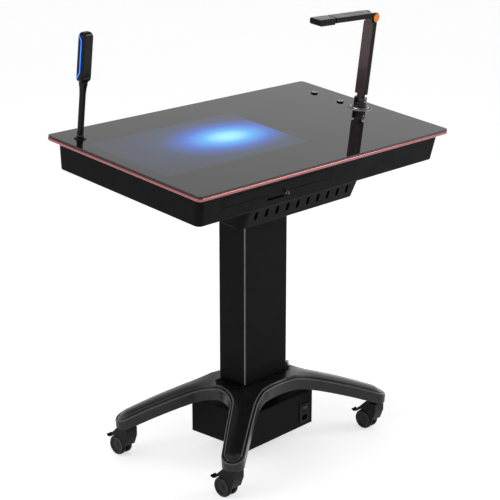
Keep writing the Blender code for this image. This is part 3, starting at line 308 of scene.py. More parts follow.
FINISH = {
    "coat": surface("black_powder_coat", (0.0034, 0.0034, 0.0037), 0.50, specular=0.05, grain=0.14,
                    grain_size=1400.0),
    # painted highlight: the sleeve's rounded corners get a far lighter grey than the coat, a bright line
    # painted along each corner
    "coat_corner_highlight": surface("coat_corner_painted_highlight", (0.110, 0.110, 0.112), 0.40, specular=0.30, mottle=0.2),
    "cast": surface("satin_cast_black", (0.0110, 0.0110, 0.0118), 0.25, specular=0.28, grain=0.06,
                    grain_size=500.0, spread=0.04),
    # painted highlight: the beads along the legs' top edges get a lighter grey than the casting, bright lines
    # painted along them
    "cast_bead_highlight": surface("bead_painted_highlight", (0.045, 0.045, 0.047), 0.26, specular=0.50, spread=0.04),
    "plastic": surface("black_plastic", (0.0045, 0.0045, 0.0050), 0.36, specular=0.10, grain=0.06,
                       grain_size=1600.0),
    "arm": surface("camera_black", (0.0045, 0.0045, 0.0050), 0.30, specular=0.09, spread=0.04),
    "arm_top": surface("brushed_grey", (0.150, 0.150, 0.153), 0.36, metallic=0.8, grain=0.10, spread=0.06,
                       stretch=(1.0, 20.0, 20.0)),
    "gloss": surface("black_gloss", (0.0035, 0.0035, 0.0040), 0.15, specular=0.12, coat=0.12, spread=0.03),
    "keys": surface("key_caps", (0.022, 0.022, 0.024), 0.52, specular=0.35, grain=0.20, grain_size=2200.0),
    "tread": surface("tread", (0.0060, 0.0060, 0.0060), 0.50, specular=0.10, grain=0.25, grain_size=900.0,
                     mottle=0.3),
    "hub": surface("wheel_hub", (0.0040, 0.0040, 0.0044), 0.18, specular=0.16, coat=0.10, spread=0.04),
    "bronze": surface("dark_bronze", (0.062, 0.040, 0.041), 0.24, metallic=0.50, coat=0.2, spread=0.04),
    "rose": surface("rose_metal", (0.30, 0.088, 0.092), 0.20, metallic=0.90, spread=0.02, mottle=0.04,
                    coat=0.5),
    "silver": brushed("satin_aluminium", (0.50, 0.50, 0.51), 0.34, (1.0, 40.0, 40.0)),
    "steel": brushed("drawn_steel", (0.45, 0.45, 0.46), 0.36, (40.0, 40.0, 1.0)),
    "zinc": surface("zinc_plate", (0.24, 0.24, 0.25), 0.42, metallic=0.9, grain=0.15, mottle=0.25),
    "case": surface("module_case", (0.30, 0.30, 0.31), 0.42, metallic=0.6, grain=0.12),
    "chrome": surface("chrome", (0.62, 0.62, 0.64), 0.12, metallic=1.0, spread=0.03, mottle=0.03),
    "orange": surface("orange_cap", (0.72, 0.185, 0.004), 0.40, specular=0.2, mottle=0.08),
    "lens": surface("coated_lens", (0.006, 0.008, 0.022), 0.05, coat=1.0, spread=0.02),
    "board": surface("circuit_board", (0.012, 0.090, 0.035), 0.45, grain=0.3),
    "fibre": surface("fibreboard", (0.030, 0.028, 0.026), 0.70, specular=0.25, grain=0.3, mottle=0.25),
    "panel": surface("screen_back", (0.03, 0.03, 0.034), 0.45),
    "blue": glow("blue_light", (0.010, 0.14, 0.95), 1.6),
    "glass": glass_material(),
}


# ---- shapes ----

def rounded_rectangle(half_x, half_y, radius, steps=10, centre=(0.0, 0.0)):
    points = []
    for sign_x, sign_y, start in ((1, 1, 0), (-1, 1, 90), (-1, -1, 180), (1, -1, 270)):
        middle_x = centre[0] + sign_x * (half_x - radius)
        middle_y = centre[1] + sign_y * (half_y - radius)
        for step in range(steps + 1):
            angle = math.radians(start + 90.0 * step / steps)
            points.append((middle_x + radius * math.cos(angle), middle_y + radius * math.sin(angle)))
    return points


def arc(centre, radius, start, end, steps):
    points = []
    for step in range(steps + 1):
        angle = math.radians(start + (end - start) * step / steps)
        points.append((centre[0] + radius * math.cos(angle), centre[1] + radius * math.sin(angle)))
    return points


def level(points, height):
    return [(x, y, height) for x, y in points]


def tidy(shape):
    bmesh.ops.remove_doubles(shape, verts=shape.verts, dist=1e-6)
    bmesh.ops.recalc_face_normals(shape, faces=shape.faces)
    return shape


def skin(loops, ring=False):
    """Closed skin over loops of as many points each: capped at both ends, or a ring with a hole in it."""
    shape = bmesh.new()
    rows = [[shape.verts.new(point) for point in loop] for loop in loops]
    pairs = list(zip(rows, rows[1:]))
    if ring:
        pairs.append((rows[-1], rows[0]))
    count = len(rows[0])
    for low, high in pairs:
        for index in range(count):
            after = (index + 1) % count
            shape.faces.new((low[index], low[after], high[after], high[index]))
    if not ring:
        shape.faces.new(list(reversed(rows[0])))
        shape.faces.new(rows[-1])
    return tidy(shape)


def turned(profile, steps=48, ring=False, knurl=0.0, teeth=0):
    """A profile of radius and height turned about Z, with a knurled rim if asked."""
    loops = []
    for radius, height in profile:
        loop = []
        for step in range(steps):
            angle = 2 * math.pi * step / steps
            size = radius * (1.0 + (knurl * math.cos(teeth * angle) if radius > 0.009 else 0.0))
            loop.append((size * math.cos(angle), size * math.sin(angle), height))
        loops.append(loop)
    return skin(loops, ring)


def block(low, high):
    outline = [(low[0], low[1]), (high[0], low[1]), (high[0], high[1]), (low[0], high[1])]
    return skin([level(outline, low[2]), level(outline, high[2])])


def extruded(outline, start, end, axis="Z"):
    if axis == "Z":
        return skin([level(outline, start), level(outline, end)])
    if axis == "X":
        return skin([[(start, a, b) for a, b in outline], [(end, a, b) for a, b in outline]])
    return skin([[(a, start, b) for a, b in outline], [(a, end, b) for a, b in outline]])


def moved(shape, offset):
    bmesh.ops.translate(shape, verts=shape.verts, vec=Vector(offset))
    return shape


def turned_to(shape, axis):
    if axis == "X":
        matrix = Matrix.Rotation(math.radians(90), 4, "Y")
    else:
        matrix = Matrix.Rotation(math.radians(-90), 4, "X")
    bmesh.ops.transform(shape, matrix=matrix, verts=shape.verts)
    return shape


def rod(axis, radius, start, end, centre=(0.0, 0.0), steps=32):
    shape = turned([(radius, start), (radius, end)], steps)
    if axis == "Z":
        return moved(shape, (centre[0], centre[1], 0))
    turned_to(shape, axis)
    if axis == "X":
        return moved(shape, (0, centre[0], centre[1]))
    return moved(shape, (centre[0], 0, centre[1]))


def softened(shape, width, segments=3, angle=28.0):
    """Round off every edge sharper than an angle."""
    limit = math.radians(angle)
    edges = [edge for edge in shape.edges if len(edge.link_faces) == 2 and edge.calc_face_angle() > limit]
    bmesh.ops.bevel(shape, geom=edges, offset=width, segments=segments, profile=0.5, affect="EDGES",
                    clamp_overlap=True)
    bmesh.ops.remove_doubles(shape, verts=shape.verts, dist=2e-6)
    return shape


def gathered(shapes):
    """Several separate shapes as one."""
    whole = bmesh.new()
    for shape in shapes:
        part = bpy.data.meshes.new("part")
        shape.to_mesh(part)
        shape.free()
        whole.from_mesh(part)
        bpy.data.meshes.remove(part)
    return whole


def placed(name, shape, *materials):
    """An object with the shape's mesh. It uses the shape up."""
    mesh = bpy.data.meshes.new(name)
    shape.to_mesh(mesh)
    shape.free()
    for material in materials:
        mesh.materials.append(material)
    made = bpy.data.objects.new(name, mesh)
    bpy.context.scene.collection.objects.link(made)
    return made


def combined(first, second, operation):
    """Union or difference of two shapes."""
    objects = [placed("temporary", shape) for shape in (first, second)]
    change = objects[0].modifiers.new("change", "BOOLEAN")
    change.operation = operation
    change.solver = "EXACT"
    change.object = objects[1]
    graph = bpy.context.evaluated_depsgraph_get()
    result = objects[0].evaluated_get(graph)
    shape = bmesh.new()
    shape.from_mesh(result.data)
    for item in objects:
        mesh = item.data
        bpy.data.objects.remove(item, do_unlink=True)
        bpy.data.meshes.remove(mesh)
    return shape


def cut(shape, tool):
    return combined(shape, tool, "DIFFERENCE")


def join(shape, tool):
    return combined(shape, tool, "UNION")


# ---- pieces ----

def piece(name, shape, finish, nodes, place=WORLD, edge=0.0, segments=2, sharp=38.0, body=None, other=None):
    """Make a visible piece that rides on the body of the CAD node that it stands for.

    Other is a second finish and a test that picks the faces it covers, in the piece's own place.
    """
    if isinstance(nodes, str):
        nodes = (nodes,)
    shape.normal_update()
    for face in shape.faces:
        face.material_index = 1 if other and other[1](face) else 0
    bmesh.ops.transform(shape, matrix=place, verts=shape.verts)
    if edge:
        softened(shape, edge, segments)
    limit = math.radians(sharp)
    for face in shape.faces:
        face.smooth = True
    for line in shape.edges:
        line.smooth = not (len(line.link_faces) == 2 and line.calc_face_angle() > limit)
    finishes = [finish, other[0]] if other else [finish]
    made = placed(name, shape, *(FINISH[key] for key in finishes))
    weight = made.modifiers.new("weight", "WEIGHTED_NORMAL")
    weight.keep_sharp = True
    weight.mode = "FACE_AREA_WITH_ANGLE"
    graph = bpy.context.evaluated_depsgraph_get()
    made.data = bpy.data.meshes.new_from_object(made.evaluated_get(graph))
    made.modifiers.clear()
    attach(made, body or NODE_BODY[nodes[0]])
    if nodes:
        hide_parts(*nodes)
    return made


def refined(node, finish, edge=0.0006, segments=2, sharp=38.0, angle=28.0, other=None):
    """The CAD node's own form with its facets merged and its edges rounded."""
    source = frame["nodes"][node]
    shape = bmesh.new()
    shape.from_mesh(source.data)
    bmesh.ops.remove_doubles(shape, verts=shape.verts, dist=2e-6)
    bmesh.ops.dissolve_limit(shape, angle_limit=math.radians(0.6), verts=shape.verts, edges=shape.edges)
    if edge:
        softened(shape, edge, segments, angle)
    return piece(f"{node}_shown", shape, finish, node, place=Matrix.Identity(4), sharp=sharp, other=other)


def plain(node, finish):
    """A CAD node shown as it is, with a procedural material."""
    mesh = frame["nodes"][node].data
    mesh.materials.clear()
    mesh.materials.append(FINISH[finish])


# ---- base ----

def leg_top(along):
    beyond = max(0.0, along - 0.130)
    return HUB_TOP - 0.2286 * beyond - 0.30 * beyond ** 2


def leg_edges():
    """Both edges of a leg from the hub to its tip: a place and the way out from it."""
    left = []
    right = []
    long_centre = (LONG_FILLET[0] * math.sin(LEG_ANGLE), LONG_FILLET[0] * math.cos(LEG_ANGLE))
    side_centre = (SIDE_FILLET[0] * math.cos(LEG_ANGLE), -SIDE_FILLET[0] * math.sin(LEG_ANGLE))
    long_start = 270.0 - math.degrees(LEG_ANGLE)
    side_start = 180.0 - math.degrees(LEG_ANGLE)
    steps = 20
    for step in range(steps + 1):
        share = step / steps
        for edge, middle, radius, start, end in (
                (left, long_centre, LONG_FILLET[1], long_start, 270.0),
                (right, side_centre, SIDE_FILLET[1], side_start, 90.0)):
            angle = math.radians(start + (end - start) * share)
            way = (math.cos(angle), math.sin(angle))
            edge.append((middle[0] + radius * way[0], middle[1] + radius * way[1], -way[0], -way[1]))
    for along in (0.250, 0.275, 0.300, 0.325, 0.350, 0.375, 0.395):
        half = LEG_HALF + (LEG_REACH - along) * 0.03
        left.append((along, half, 0.03, 1.0))
        right.append((along, -half, 0.03, -1.0))
    for angle in (90, 82, 74, 66, 58, 50, 42, 34, 26, 18, 11, 5):
        way = (math.cos(math.radians(angle)), math.sin(math.radians(angle)))
        left.append((LEG_REACH + LEG_HALF * way[0], LEG_HALF * way[1], way[0], way[1]))
        right.append((LEG_REACH + LEG_HALF * way[0], -LEG_HALF * way[1], way[0], -way[1]))
    return left, right


LEG_OUTSIDE = [(0.0130, 0.0), (0.0116, 0.0002), (0.0104, 0.0008), (0.0094, 0.0018), (0.0087, 0.0032),
               (0.0081, 0.0043), (0.0072, 0.0049), (0.0058, 0.0051), (0.0042, 0.0052), (0.0028, 0.0056),
               (0.0014, 0.0065), (0.0005, 0.0080), (0.0, 0.0102), (0.0003, 0.0180), (0.0008, 0.0300),
               (0.0012, 0.0430), (0.0020, 0.0446), (0.0030, LEG_WALL)]
BEAD_STEPS = (1, 2, 9, 10, 11)
LEG_INSIDE = [(0.0056, LEG_WALL), (0.0062, 0.0440), (0.0070, 0.0120), (0.0095, 0.0080)]


def leg_place(along, across, height, mirror_x, mirror_y):
    """A point given along and across a leg, in the piece's own frame."""
    x = along * math.cos(LEG_ANGLE) - across * math.sin(LEG_ANGLE)
    y = along * math.sin(LEG_ANGLE) + across * math.cos(LEG_ANGLE)
    return (mirror_x * x, COLUMN_Y + mirror_y * y, height)


def leg_point(edge, inset, drop, mirror_x, mirror_y):
    """A point on a leg's side, set in from its edge and down from its top."""
    along, across, out_along, out_across = edge
    top = leg_top(along)
    height = top - drop
    if drop > LEG_STRAIGHT:
        low = max(top - LEG_WALL, LEG_TIP_BOTTOM)
        share = (drop - LEG_STRAIGHT) / (LEG_WALL - LEG_STRAIGHT)
        height = (top - LEG_STRAIGHT) * (1.0 - share) + low * share
    return leg_place(along - out_along * inset, across - out_across * inset, height, mirror_x, mirror_y)


def crown_points(edge_left, edge_right, fade, mirror_x, mirror_y):
    """Points across the top of a leg, which swells a little towards its middle."""
    points = []
    inset = LEG_OUTSIDE[0][0]
    count = 8
    ends = []
    for along, across, out_along, out_across in (edge_left, edge_right):
        ends.append((along - out_along * inset, across - out_across * inset, leg_top(along)))
    for step in range(1, count):
        share = step / count
        along, across, height = (ends[0][part] * (1 - share) + ends[1][part] * share for part in range(3))
        height += fade * CROWN_RISE * math.sin(math.pi * share)
        points.append(leg_place(along, across, height, mirror_x, mirror_y))
    return points


def crown_fade(number, count):
    """How much the crown shows: none at the hub and at the tip."""
    fade = min(1.0, max(0.0, (number - 4) / 14.0))
    if number >= count - 8:
        fade *= (count - 1 - number) / 8.0
    return fade


def add_strips(shape, bead, before, after):
    """Faces between two rows of points, with the strips of the bead marked."""
    for step in range(len(before) - 1):
        face = shape.faces.new((before[step], before[step + 1], after[step + 1], after[step]))
        face[bead] = 1 if step in BEAD_STEPS else 0


def add_leg(shape, bead, profile, mirror_x, mirror_y):
    """Skin one leg and return its rows at the hub."""
    left, right = leg_edges()
    rows = []
    tops = []
    for number, edges in enumerate(zip(left, right)):
        row = [[shape.verts.new(leg_point(edge, inset, drop, mirror_x, mirror_y)) for inset, drop in profile]
               for edge in edges]
        middle = [shape.verts.new(point)
                  for point in crown_points(*edges, crown_fade(number, len(left)), mirror_x, mirror_y)]
        rows.append(row)
        tops.append([row[0][0]] + middle + [row[1][0]])
    for before, after in zip(rows, rows[1:]):
        for side in (0, 1):
            add_strips(shape, bead, before[side], after[side])
        shape.faces.new((before[0][-1], after[0][-1], after[1][-1], before[1][-1]))
    for before, after in zip(tops, tops[1:]):
        for step in range(len(before) - 1):
            shape.faces.new((before[step], after[step], after[step + 1], before[step + 1]))
    add_strips(shape, bead, *rows[-1])
    shape.faces.new(tops[-1])
    return tops[0], rows[0]


def base_shape():
    shape = bmesh.new()
    bead = shape.faces.layers.int.new("bead")
    profile = LEG_OUTSIDE + LEG_INSIDE
    hubs = {(mirror_x, mirror_y): add_leg(shape, bead, profile, mirror_x, mirror_y)
            for mirror_x in (1, -1) for mirror_y in (1, -1)}
    ring_top = []
    ring_low = []
    for key, flip in (((1, 1), True), ((-1, 1), False), ((-1, -1), True), ((1, -1), False)):
        top, row = hubs[key]
        ring_top += list(reversed(top)) if flip else top
        ring_low += [row[1][-1], row[0][-1]] if flip else [row[0][-1], row[1][-1]]
    shape.faces.new(ring_top)
    shape.faces.new(ring_low)
    bmesh.ops.remove_doubles(shape, verts=shape.verts, dist=2e-6)
    bmesh.ops.dissolve_degenerate(shape, edges=shape.edges, dist=1e-6)
    bmesh.ops.recalc_face_normals(shape, faces=shape.faces)
    return shape


def stem_places():
    reach_x = LEG_REACH * math.cos(LEG_ANGLE)
    reach_y = LEG_REACH * math.sin(LEG_ANGLE)
    return [("front_left", -reach_x, COLUMN_Y - reach_y), ("front_right", reach_x, COLUMN_Y - reach_y),
            ("back_left", -reach_x, COLUMN_Y + reach_y), ("back_right", reach_x, COLUMN_Y + reach_y)]


def make_stem_sockets():
    for name, x, y in stem_places():
        along = abs(x) * math.cos(LEG_ANGLE) + abs(y - COLUMN_Y) * math.sin(LEG_ANGLE)
        top = leg_top(along + 0.014) - 0.0085
        socket = turned([(0.0140, LEG_TIP_BOTTOM + 0.0008), (0.0134, LEG_TIP_BOTTOM),
                         (0.0066, LEG_TIP_BOTTOM), (0.0058, LEG_TIP_BOTTOM + 0.0008),
                         (0.0058, top), (0.0140, top)], 40, ring=True)
        piece(f"stem_socket_{name}", moved(socket, (x, y, 0)), "cast", (), body="base")


def bolt_head(rise):
    """Round head with a washer under it and a hexagon socket in its top."""
    top = HUB_TOP + rise
    head = turned([(0.0092, HUB_TOP + 0.0030), (0.0092, HUB_TOP + 0.0044), (0.0078, HUB_TOP + 0.0048),
                   (0.0078, top - 0.0014), (0.0074, top - 0.0006), (0.0062, top - 0.0002), (0.0050, top)], 40)
    hexagon = arc((0.0, 0.0), 0.0036, 0.0, 300.0, 5)
    return cut(head, extruded(hexagon, top - 0.0030, top + 0.0100))


def is_tall_bolt(face):
    return face.calc_center_median().z > HUB_TOP + 0.0075


def make_base():
    shape = base_shape()
    bead = shape.faces.layers.int["bead"]
    # the bead strips of the legs carry the lighter painted highlight colour
    piece("base_casting_shown", shape, "cast", "base_casting", sharp=30.0,
          other=("cast_bead_highlight", lambda face: face[bead] == 1))
    make_stem_sockets()
    outline = rounded_rectangle(*PLATE_HALF, 0.012, 8, (0, COLUMN_Y))
    plate = softened(extruded(outline, HUB_TOP + GAP, HUB_TOP + 0.0040), 0.0008)
    bolts = [moved(bolt_head(rise), (sign_x * BOLT_PLACE[0], COLUMN_Y + sign_y * BOLT_PLACE[1], 0))
             for sign_x, rise in ((-1, LOW_BOLT), (1, TALL_BOLT)) for sign_y in (-1, 1)]
    piece("column_foot_plate_shown", join(plate, gathered(bolts)), "coat", "column_foot_plate", sharp=30.0,
          other=("chrome", is_tall_bolt))


# ---- column ----

def tube(size, low, high, radius):
    """Rectangular tube around the column's axis, with a small chamfer at both ends."""
    lip = 0.0006
    centre = (0, COLUMN_Y)
    outer = rounded_rectangle(size[0] / 2, size[1] / 2, radius, 8, centre)
    inner = rounded_rectangle(size[0] / 2 - TUBE_WALL, size[1] / 2 - TUBE_WALL, radius / 2, 8, centre)
    small = rounded_rectangle(size[0] / 2 - lip, size[1] / 2 - lip, radius - lip, 8, centre)
    return skin([level(small, low), level(outer, low + lip), level(outer, high - lip), level(small, high),
                 level(inner, high), level(inner, low)], ring=True)


def is_corner(face):
    """A face on a rounded corner of the sleeve."""
    middle = face.calc_center_median()
    return (abs(middle.x) > SLEEVE[0] / 2 - 0.0040 and abs(middle.y - COLUMN_Y) > SLEEVE[1] / 2 - 0.0040
            and max(abs(face.normal.x), abs(face.normal.y)) < 0.97)


def make_column():
    sleeve = tube(SLEEVE, SLEEVE_BOTTOM, SLEEVE_TOP, SLEEVE_CORNER)
    # the corner faces carry the lighter painted highlight colour
    piece("column_sleeve_shown", sleeve, "coat", "column_sleeve", other=("coat_corner_highlight", is_corner))
    piece("inner_mast_shown", tube(MAST, HUB_TOP + 0.0043, MAST_TOP, 0.004), "steel", "inner_mast")
    refined("mast_glide", "plastic", 0.0006)
    refined("lift_motor", "zinc", 0.0008)
    lift_tube = turned([(0.0214, 0.2686), (0.022, 0.2692), (0.022, 0.6194), (0.0214, 0.620), (0.018, 0.620),
                        (0.018, 0.2686)], 48, ring=True)
    piece("lift_tube_shown", moved(lift_tube, (0, COLUMN_Y, 0)), "zinc", "lift_tube")
    lift_rod = turned([(0.0147, 0.320), (0.0155, 0.3208), (0.0155, SLEEVE_TOP)], 48)
    piece("lift_rod_shown", moved(lift_rod, (0, COLUMN_Y, 0)), "steel", "lift_rod")
    refined("desk_bracket", "zinc", 0.0006)


# ---- equipment box ----

def make_box():
    refined("equipment_box", "coat", 0.0007, 3)
    refined("box_cover", "coat", 0.0005, 2)
    refined("power_inlet", "plastic", 0.0003, 2)
    refined("fuse_drawer", "plastic", 0.0004, 2)
    refined("power_switch", "hub", 0.0005, 3)
    refined("power_supply", "case", 0.0006)


# ---- casters ----

def fork_shape():
    """Hood over the twin wheels, with its stem, the web between the wheels and the pedal's ears."""
    wheel = (TRAIL, WHEEL_RADIUS)
    outline = [(-0.0105, 0.0380), (-0.0220, 0.0700), (-0.0220, FORK_TOP - 0.0020), (-0.0200, FORK_TOP),
               (0.0200, FORK_TOP), (0.0460, 0.0730), (0.0460, 0.0640)]
    outline += arc(wheel, WHEEL_RADIUS + 0.0028, 64, 170, 20)
    hood = softened(extruded(outline, -0.0225, 0.0225, "X"), 0.0022, 4, 24.0)
    web = arc(wheel, 0.010, 180, 360, 16) + [(0.044, 0.072), (0.008, 0.072)]
    shape = join(hood, extruded(web, -0.0048, 0.0048, "X"))
    shape = join(shape, turned([(0.0150, FORK_TOP - 0.002), (0.0150, LEG_TIP_BOTTOM - GAP - 0.0004),
                                (0.0146, LEG_TIP_BOTTOM - GAP), (STEM_RADIUS, LEG_TIP_BOTTOM - GAP),
                                (STEM_RADIUS, 0.1250), (0.0046, 0.126)], 40))
    shape = cut(shape, rod("X", 0.0048, -0.01, 0.01, wheel, 32))
    ear = arc(PEDAL_PIVOT, 0.0045, -90, 90, 12) + [(0.0440, 0.0685), (0.0440, 0.0645)]
    for low, high in ((0.0125, 0.0165), (-0.0165, -0.0125)):
        shape = join(shape, softened(extruded(ear, low, high, "X"), 0.0005, 2))
    return join(shape, rod("X", 0.0016, -0.014, 0.014, PEDAL_PIVOT, 20))


def wheels_shape():
    """Both wheels and their axle, turned in one piece."""
    half = [(0.0010, 0.0190), (0.0046, 0.0193), (0.0060, 0.0186), (0.0068, 0.0172), (0.0084, 0.0166),
            (0.0186, 0.0166), (0.0206, 0.0172), (0.0220, 0.0192), (0.0232, 0.0202), (0.0258, 0.0205),
            (0.0268, 0.0198), (0.0276, 0.0202), (0.0296, 0.0198), (0.0311, 0.0184), (0.0318, 0.0164),
            (0.0320, 0.0130), (0.0318, 0.0096), (0.0311, 0.0074), (0.0296, 0.0060), (0.0276, 0.0055),
            (0.0140, 0.0055), (0.0120, 0.0060), (0.0060, 0.0060), (0.0045, 0.0052)]
    profile = [(radius, -along) for radius, along in half] + [(radius, along) for radius, along in half[::-1]]
    shape = turned_to(turned(profile, 72), "X")
    return moved(shape, (0, TRAIL, WHEEL_RADIUS))


def is_hub(face):
    middle = face.calc_center_median()
    return math.hypot(middle.y - TRAIL, middle.z - WHEEL_RADIUS) < HUB_DISC


def pedal_shape():
    pivot_y, pivot_z = PEDAL_PIVOT
    hub = arc(PEDAL_PIVOT, 0.0045, 60, 300, 14)
    lower = [(0.0625, 0.0500), (0.0660, 0.0482), (0.0700, 0.0468), (0.0735, 0.0460), (0.0770, 0.0460),
             (0.0805, 0.0470), (0.0850, 0.0505)]
    upper = [(0.0840, 0.0530), (0.0800, 0.0500), (0.0770, 0.0491), (0.0740, 0.0490), (0.0700, 0.0502),
             (0.0640, 0.0530), (pivot_y + 0.004, pivot_z - 0.0005)]
    shape = softened(extruded(hub + lower + upper, -0.0115, 0.0115, "X"), 0.0006, 3)
    for step in range(4):
        y = 0.0745 + step * 0.0022
        z = 0.0489 + max(0.0, (y - 0.0765)) * 0.45
        shape = join(shape, rod("X", 0.0006, -0.0095, 0.0095, (y, z + 0.0003), 12))
    return cut(shape, rod("X", 0.0020, -0.02, 0.02, PEDAL_PIVOT, 20))


def make_casters():
    for name, x, y in stem_places():
        place = WORLD @ Matrix.Translation((x, y, 0.0))
        piece(f"caster_fork_{name}_shown", fork_shape(), "plastic", f"caster_fork_{name}", place, sharp=30.0)
        piece(f"caster_wheels_{name}_shown", wheels_shape(), "tread", f"caster_wheels_{name}", place,
              other=("hub", is_hub))
        piece(f"caster_pedal_{name}_shown", pedal_shape(), "plastic", f"caster_pedal_{name}", place,
              sharp=30.0)


# ---- desk top ----

def desk_loops(rows):
    """The desk's outline at each inset and height."""
    half_x, half_y = DESK_HALF
    return [level(rounded_rectangle(half_x - inset, half_y - inset, DESK_CORNER - inset, 12), height)
            for inset, height in rows]


def trim_rows():
    """Half-round section of the edge trim: how far in and how high."""
    top = GLASS_BOTTOM - GAP
    middle = (top + TRIM_BOTTOM) / 2
    tall = (top - TRIM_BOTTOM) / 2
    rows = [(TRIM_INNER, top)]
    for step in range(21):
        angle = math.radians(90.0 - 180.0 * step / 20)
        rows.append((TRIM_ROUND * (1.0 - math.cos(angle)), middle + tall * math.sin(angle)))
    return rows + [(TRIM_INNER, TRIM_BOTTOM)]


def make_top():
    piece("edge_trim_shown", skin(desk_loops(trim_rows()), ring=True), "rose", "edge_trim", DESK, sharp=50.0)
    rows = [(0.0016, GLASS_BOTTOM), (0.0011, GLASS_BOTTOM + 0.0005), (0.0011, GLASS_TOP - 0.0009),
            (0.0013, GLASS_TOP - 0.0004), (0.0021, GLASS_TOP)]
    glass = skin(desk_loops(rows))
    holes = [(CAMERA_AT, HOLE_CAMERA), (MIC_AT, HOLE_MIC)] + [(at, HOLE_KNOB) for at in KNOBS.values()]
    glass = cut(glass, gathered([rod("Z", radius, -0.03, 0.03, at, 96) for at, radius in holes]))
    piece("glass_top_shown", glass, "glass", "glass_top", DESK)
    plain("deck_plate", "fibre")
    plain("display_module", "panel")


# ---- housings ----

def front_face(height):
    """Where the housing's sloping front stands at a height."""
    share = (HOUSING_TOP - height) / (HOUSING_TOP - HOUSING_BOTTOM)
    return -(HOUSING_TOP_HALF[1] + (HOUSING_BOTTOM_HALF[1] - HOUSING_TOP_HALF[1]) * share)


def drawer_outline(clearance):
    """Front of the drawer seen from the user's side, with its finger pull and latch plate."""
    left = DRAWER_X - DRAWER_WIDTH / 2 - clearance
    right = DRAWER_X + DRAWER_WIDTH / 2 + clearance
    bottom = DRAWER_BOTTOM - clearance
    return [(left, bottom), (PULL_LEFT - clearance, bottom), (PULL_LEFT - clearance, PULL_BOTTOM - clearance),
            (LATCH_LEFT - clearance, PULL_BOTTOM - clearance),
            (LATCH_LEFT - clearance, LATCH_BOTTOM - clearance),
            (PULL_RIGHT + clearance, LATCH_BOTTOM - clearance), (PULL_RIGHT + clearance, bottom),
            (right, bottom), (right, DRAWER_TOP + clearance), (left, DRAWER_TOP + clearance)]


def open_shell(bottom_half, top_half, low, high, wall, corner_low, corner_high, rim, centre=(0.0, 0.0)):
    """Sloping tray with a rounded lower edge, open on top."""
    loops = []
    for step in range(7):
        angle = math.radians(90.0 * step / 6)
        shrink = rim * (1.0 - math.sin(angle))
        height = low + rim * (1.0 - math.cos(angle))
        loops.append(level(rounded_rectangle(bottom_half[0] - shrink, bottom_half[1] - shrink,
                                             corner_low - shrink, 12, centre), height))
    loops.append(level(rounded_rectangle(top_half[0], top_half[1], corner_high, 12, centre), high))
    loops.append(level(rounded_rectangle(top_half[0] - wall, top_half[1] - wall, corner_high - wall, 12,
                                         centre), high))
    loops.append(level(rounded_rectangle(bottom_half[0] - wall, bottom_half[1] - wall, corner_low - wall, 12,
                                         centre), low + wall))
    return skin(loops)


def slanted_slot(x, y, way):
    outline = []
    for rise, start in ((VENT_RISE, 0.0), (-VENT_RISE, 180.0)):
        for point_x, point_z in arc((0.0, 0.0), VENT_RADIUS, start, start + 180.0, 8):
            z = VENT_HEIGHT + rise + point_z
            outline.append((x + point_x + (z - VENT_HEIGHT) * VENT_LEAN, z))
    return extruded(outline, y, y + way * 0.06, "Y")


def make_desk_housing():
    housing = open_shell(HOUSING_BOTTOM_HALF, HOUSING_TOP_HALF, HOUSING_BOTTOM, HOUSING_TOP, HOUSING_WALL,
                         0.018, 0.020, 0.005)
    wall = front_face(DRAWER_BOTTOM)
    housing = cut(housing, extruded(drawer_outline(DRAWER_PLAY), wall - 0.02, wall + 0.02, "Y"))
    slot = softened(block((PULL_LEFT - 0.0006, wall - 0.02, PULL_BOTTOM - 0.0065),
                          (LATCH_LEFT + 0.001, wall + 0.02, PULL_BOTTOM + 0.001)), 0.0012, 3)
    housing = cut(housing, slot)
    low, high = CABLE_HOLE
    housing = cut(housing, block((*low, HOUSING_BOTTOM - 0.01), (*high, HOUSING_BOTTOM + 0.01)))
    piece("desk_housing_shown", housing, "coat", "desk_housing", DESK)


def make_under_housing():
    tray = open_shell(TRAY_BOTTOM_HALF, TRAY_TOP_HALF, TRAY_BOTTOM, HOUSING_BOTTOM - GAP, TRAY_WALL,
                      0.026, 0.030, 0.006, (TRAY_CENTRE_X, 0.0))
    vents = []
    for index in range(VENT_COUNT):
        x = TRAY_CENTRE_X + (index - (VENT_COUNT - 1) / 2) * VENT_PITCH
        vents += [slanted_slot(x, -0.165, -1), slanted_slot(x, 0.165, 1)]
    tray = cut(tray, gathered(vents))
    bmesh.ops.transform(tray, matrix=DESK, verts=tray.verts)
    clear = 0.004
    column = rounded_rectangle(SLEEVE[0] / 2 + clear, SLEEVE[1] / 2 + clear, 0.008, 6, (0, COLUMN_Y + SHIFT))
    piece("under_housing_shown", cut(tray, extruded(column, 0.76, 0.88)), "coat", "under_housing",
          Matrix.Identity(4))


def make_modules():
    plain("computer_module", "case")
    plain("control_board", "board")
    for side in ("left", "right"):
        refined(f"drawer_rail_{side}", "steel", 0.0)


# ---- drawer ----

def latch_shape():
    """Turn latch: a rosette, its spindle, the grip in front and the cam behind the drawer's front."""
    x, z = LATCH_AT
    face = front_face(z)
    rosette = turned([(0.0060, 0.0010), (0.0060, 0.0036), (0.0055, 0.0043), (0.0045, 0.0045)], 48)
    turned_to(rosette, "Y")
    bmesh.ops.scale(rosette, vec=(1.0, -1.0, 1.0), verts=rosette.verts)
    rosette = moved(rosette, (x, face, z))
    bmesh.ops.recalc_face_normals(rosette, faces=rosette.faces)
    spindle = rod("Y", 0.0030, face - 0.002, face + 0.0075, LATCH_AT, 32)
    grip = softened(block((x - 0.0016, face - 0.0110, z - 0.0052), (x + 0.0016, face - 0.0030, z + 0.0052)),
                    0.0008, 3)
    cam = softened(block((x - 0.0043, face + 0.0042, z - 0.0038), (x + 0.0170, face + 0.0060, z + 0.0038)),
                   0.0006, 2)
    return join(join(join(rosette, spindle), grip), cam)


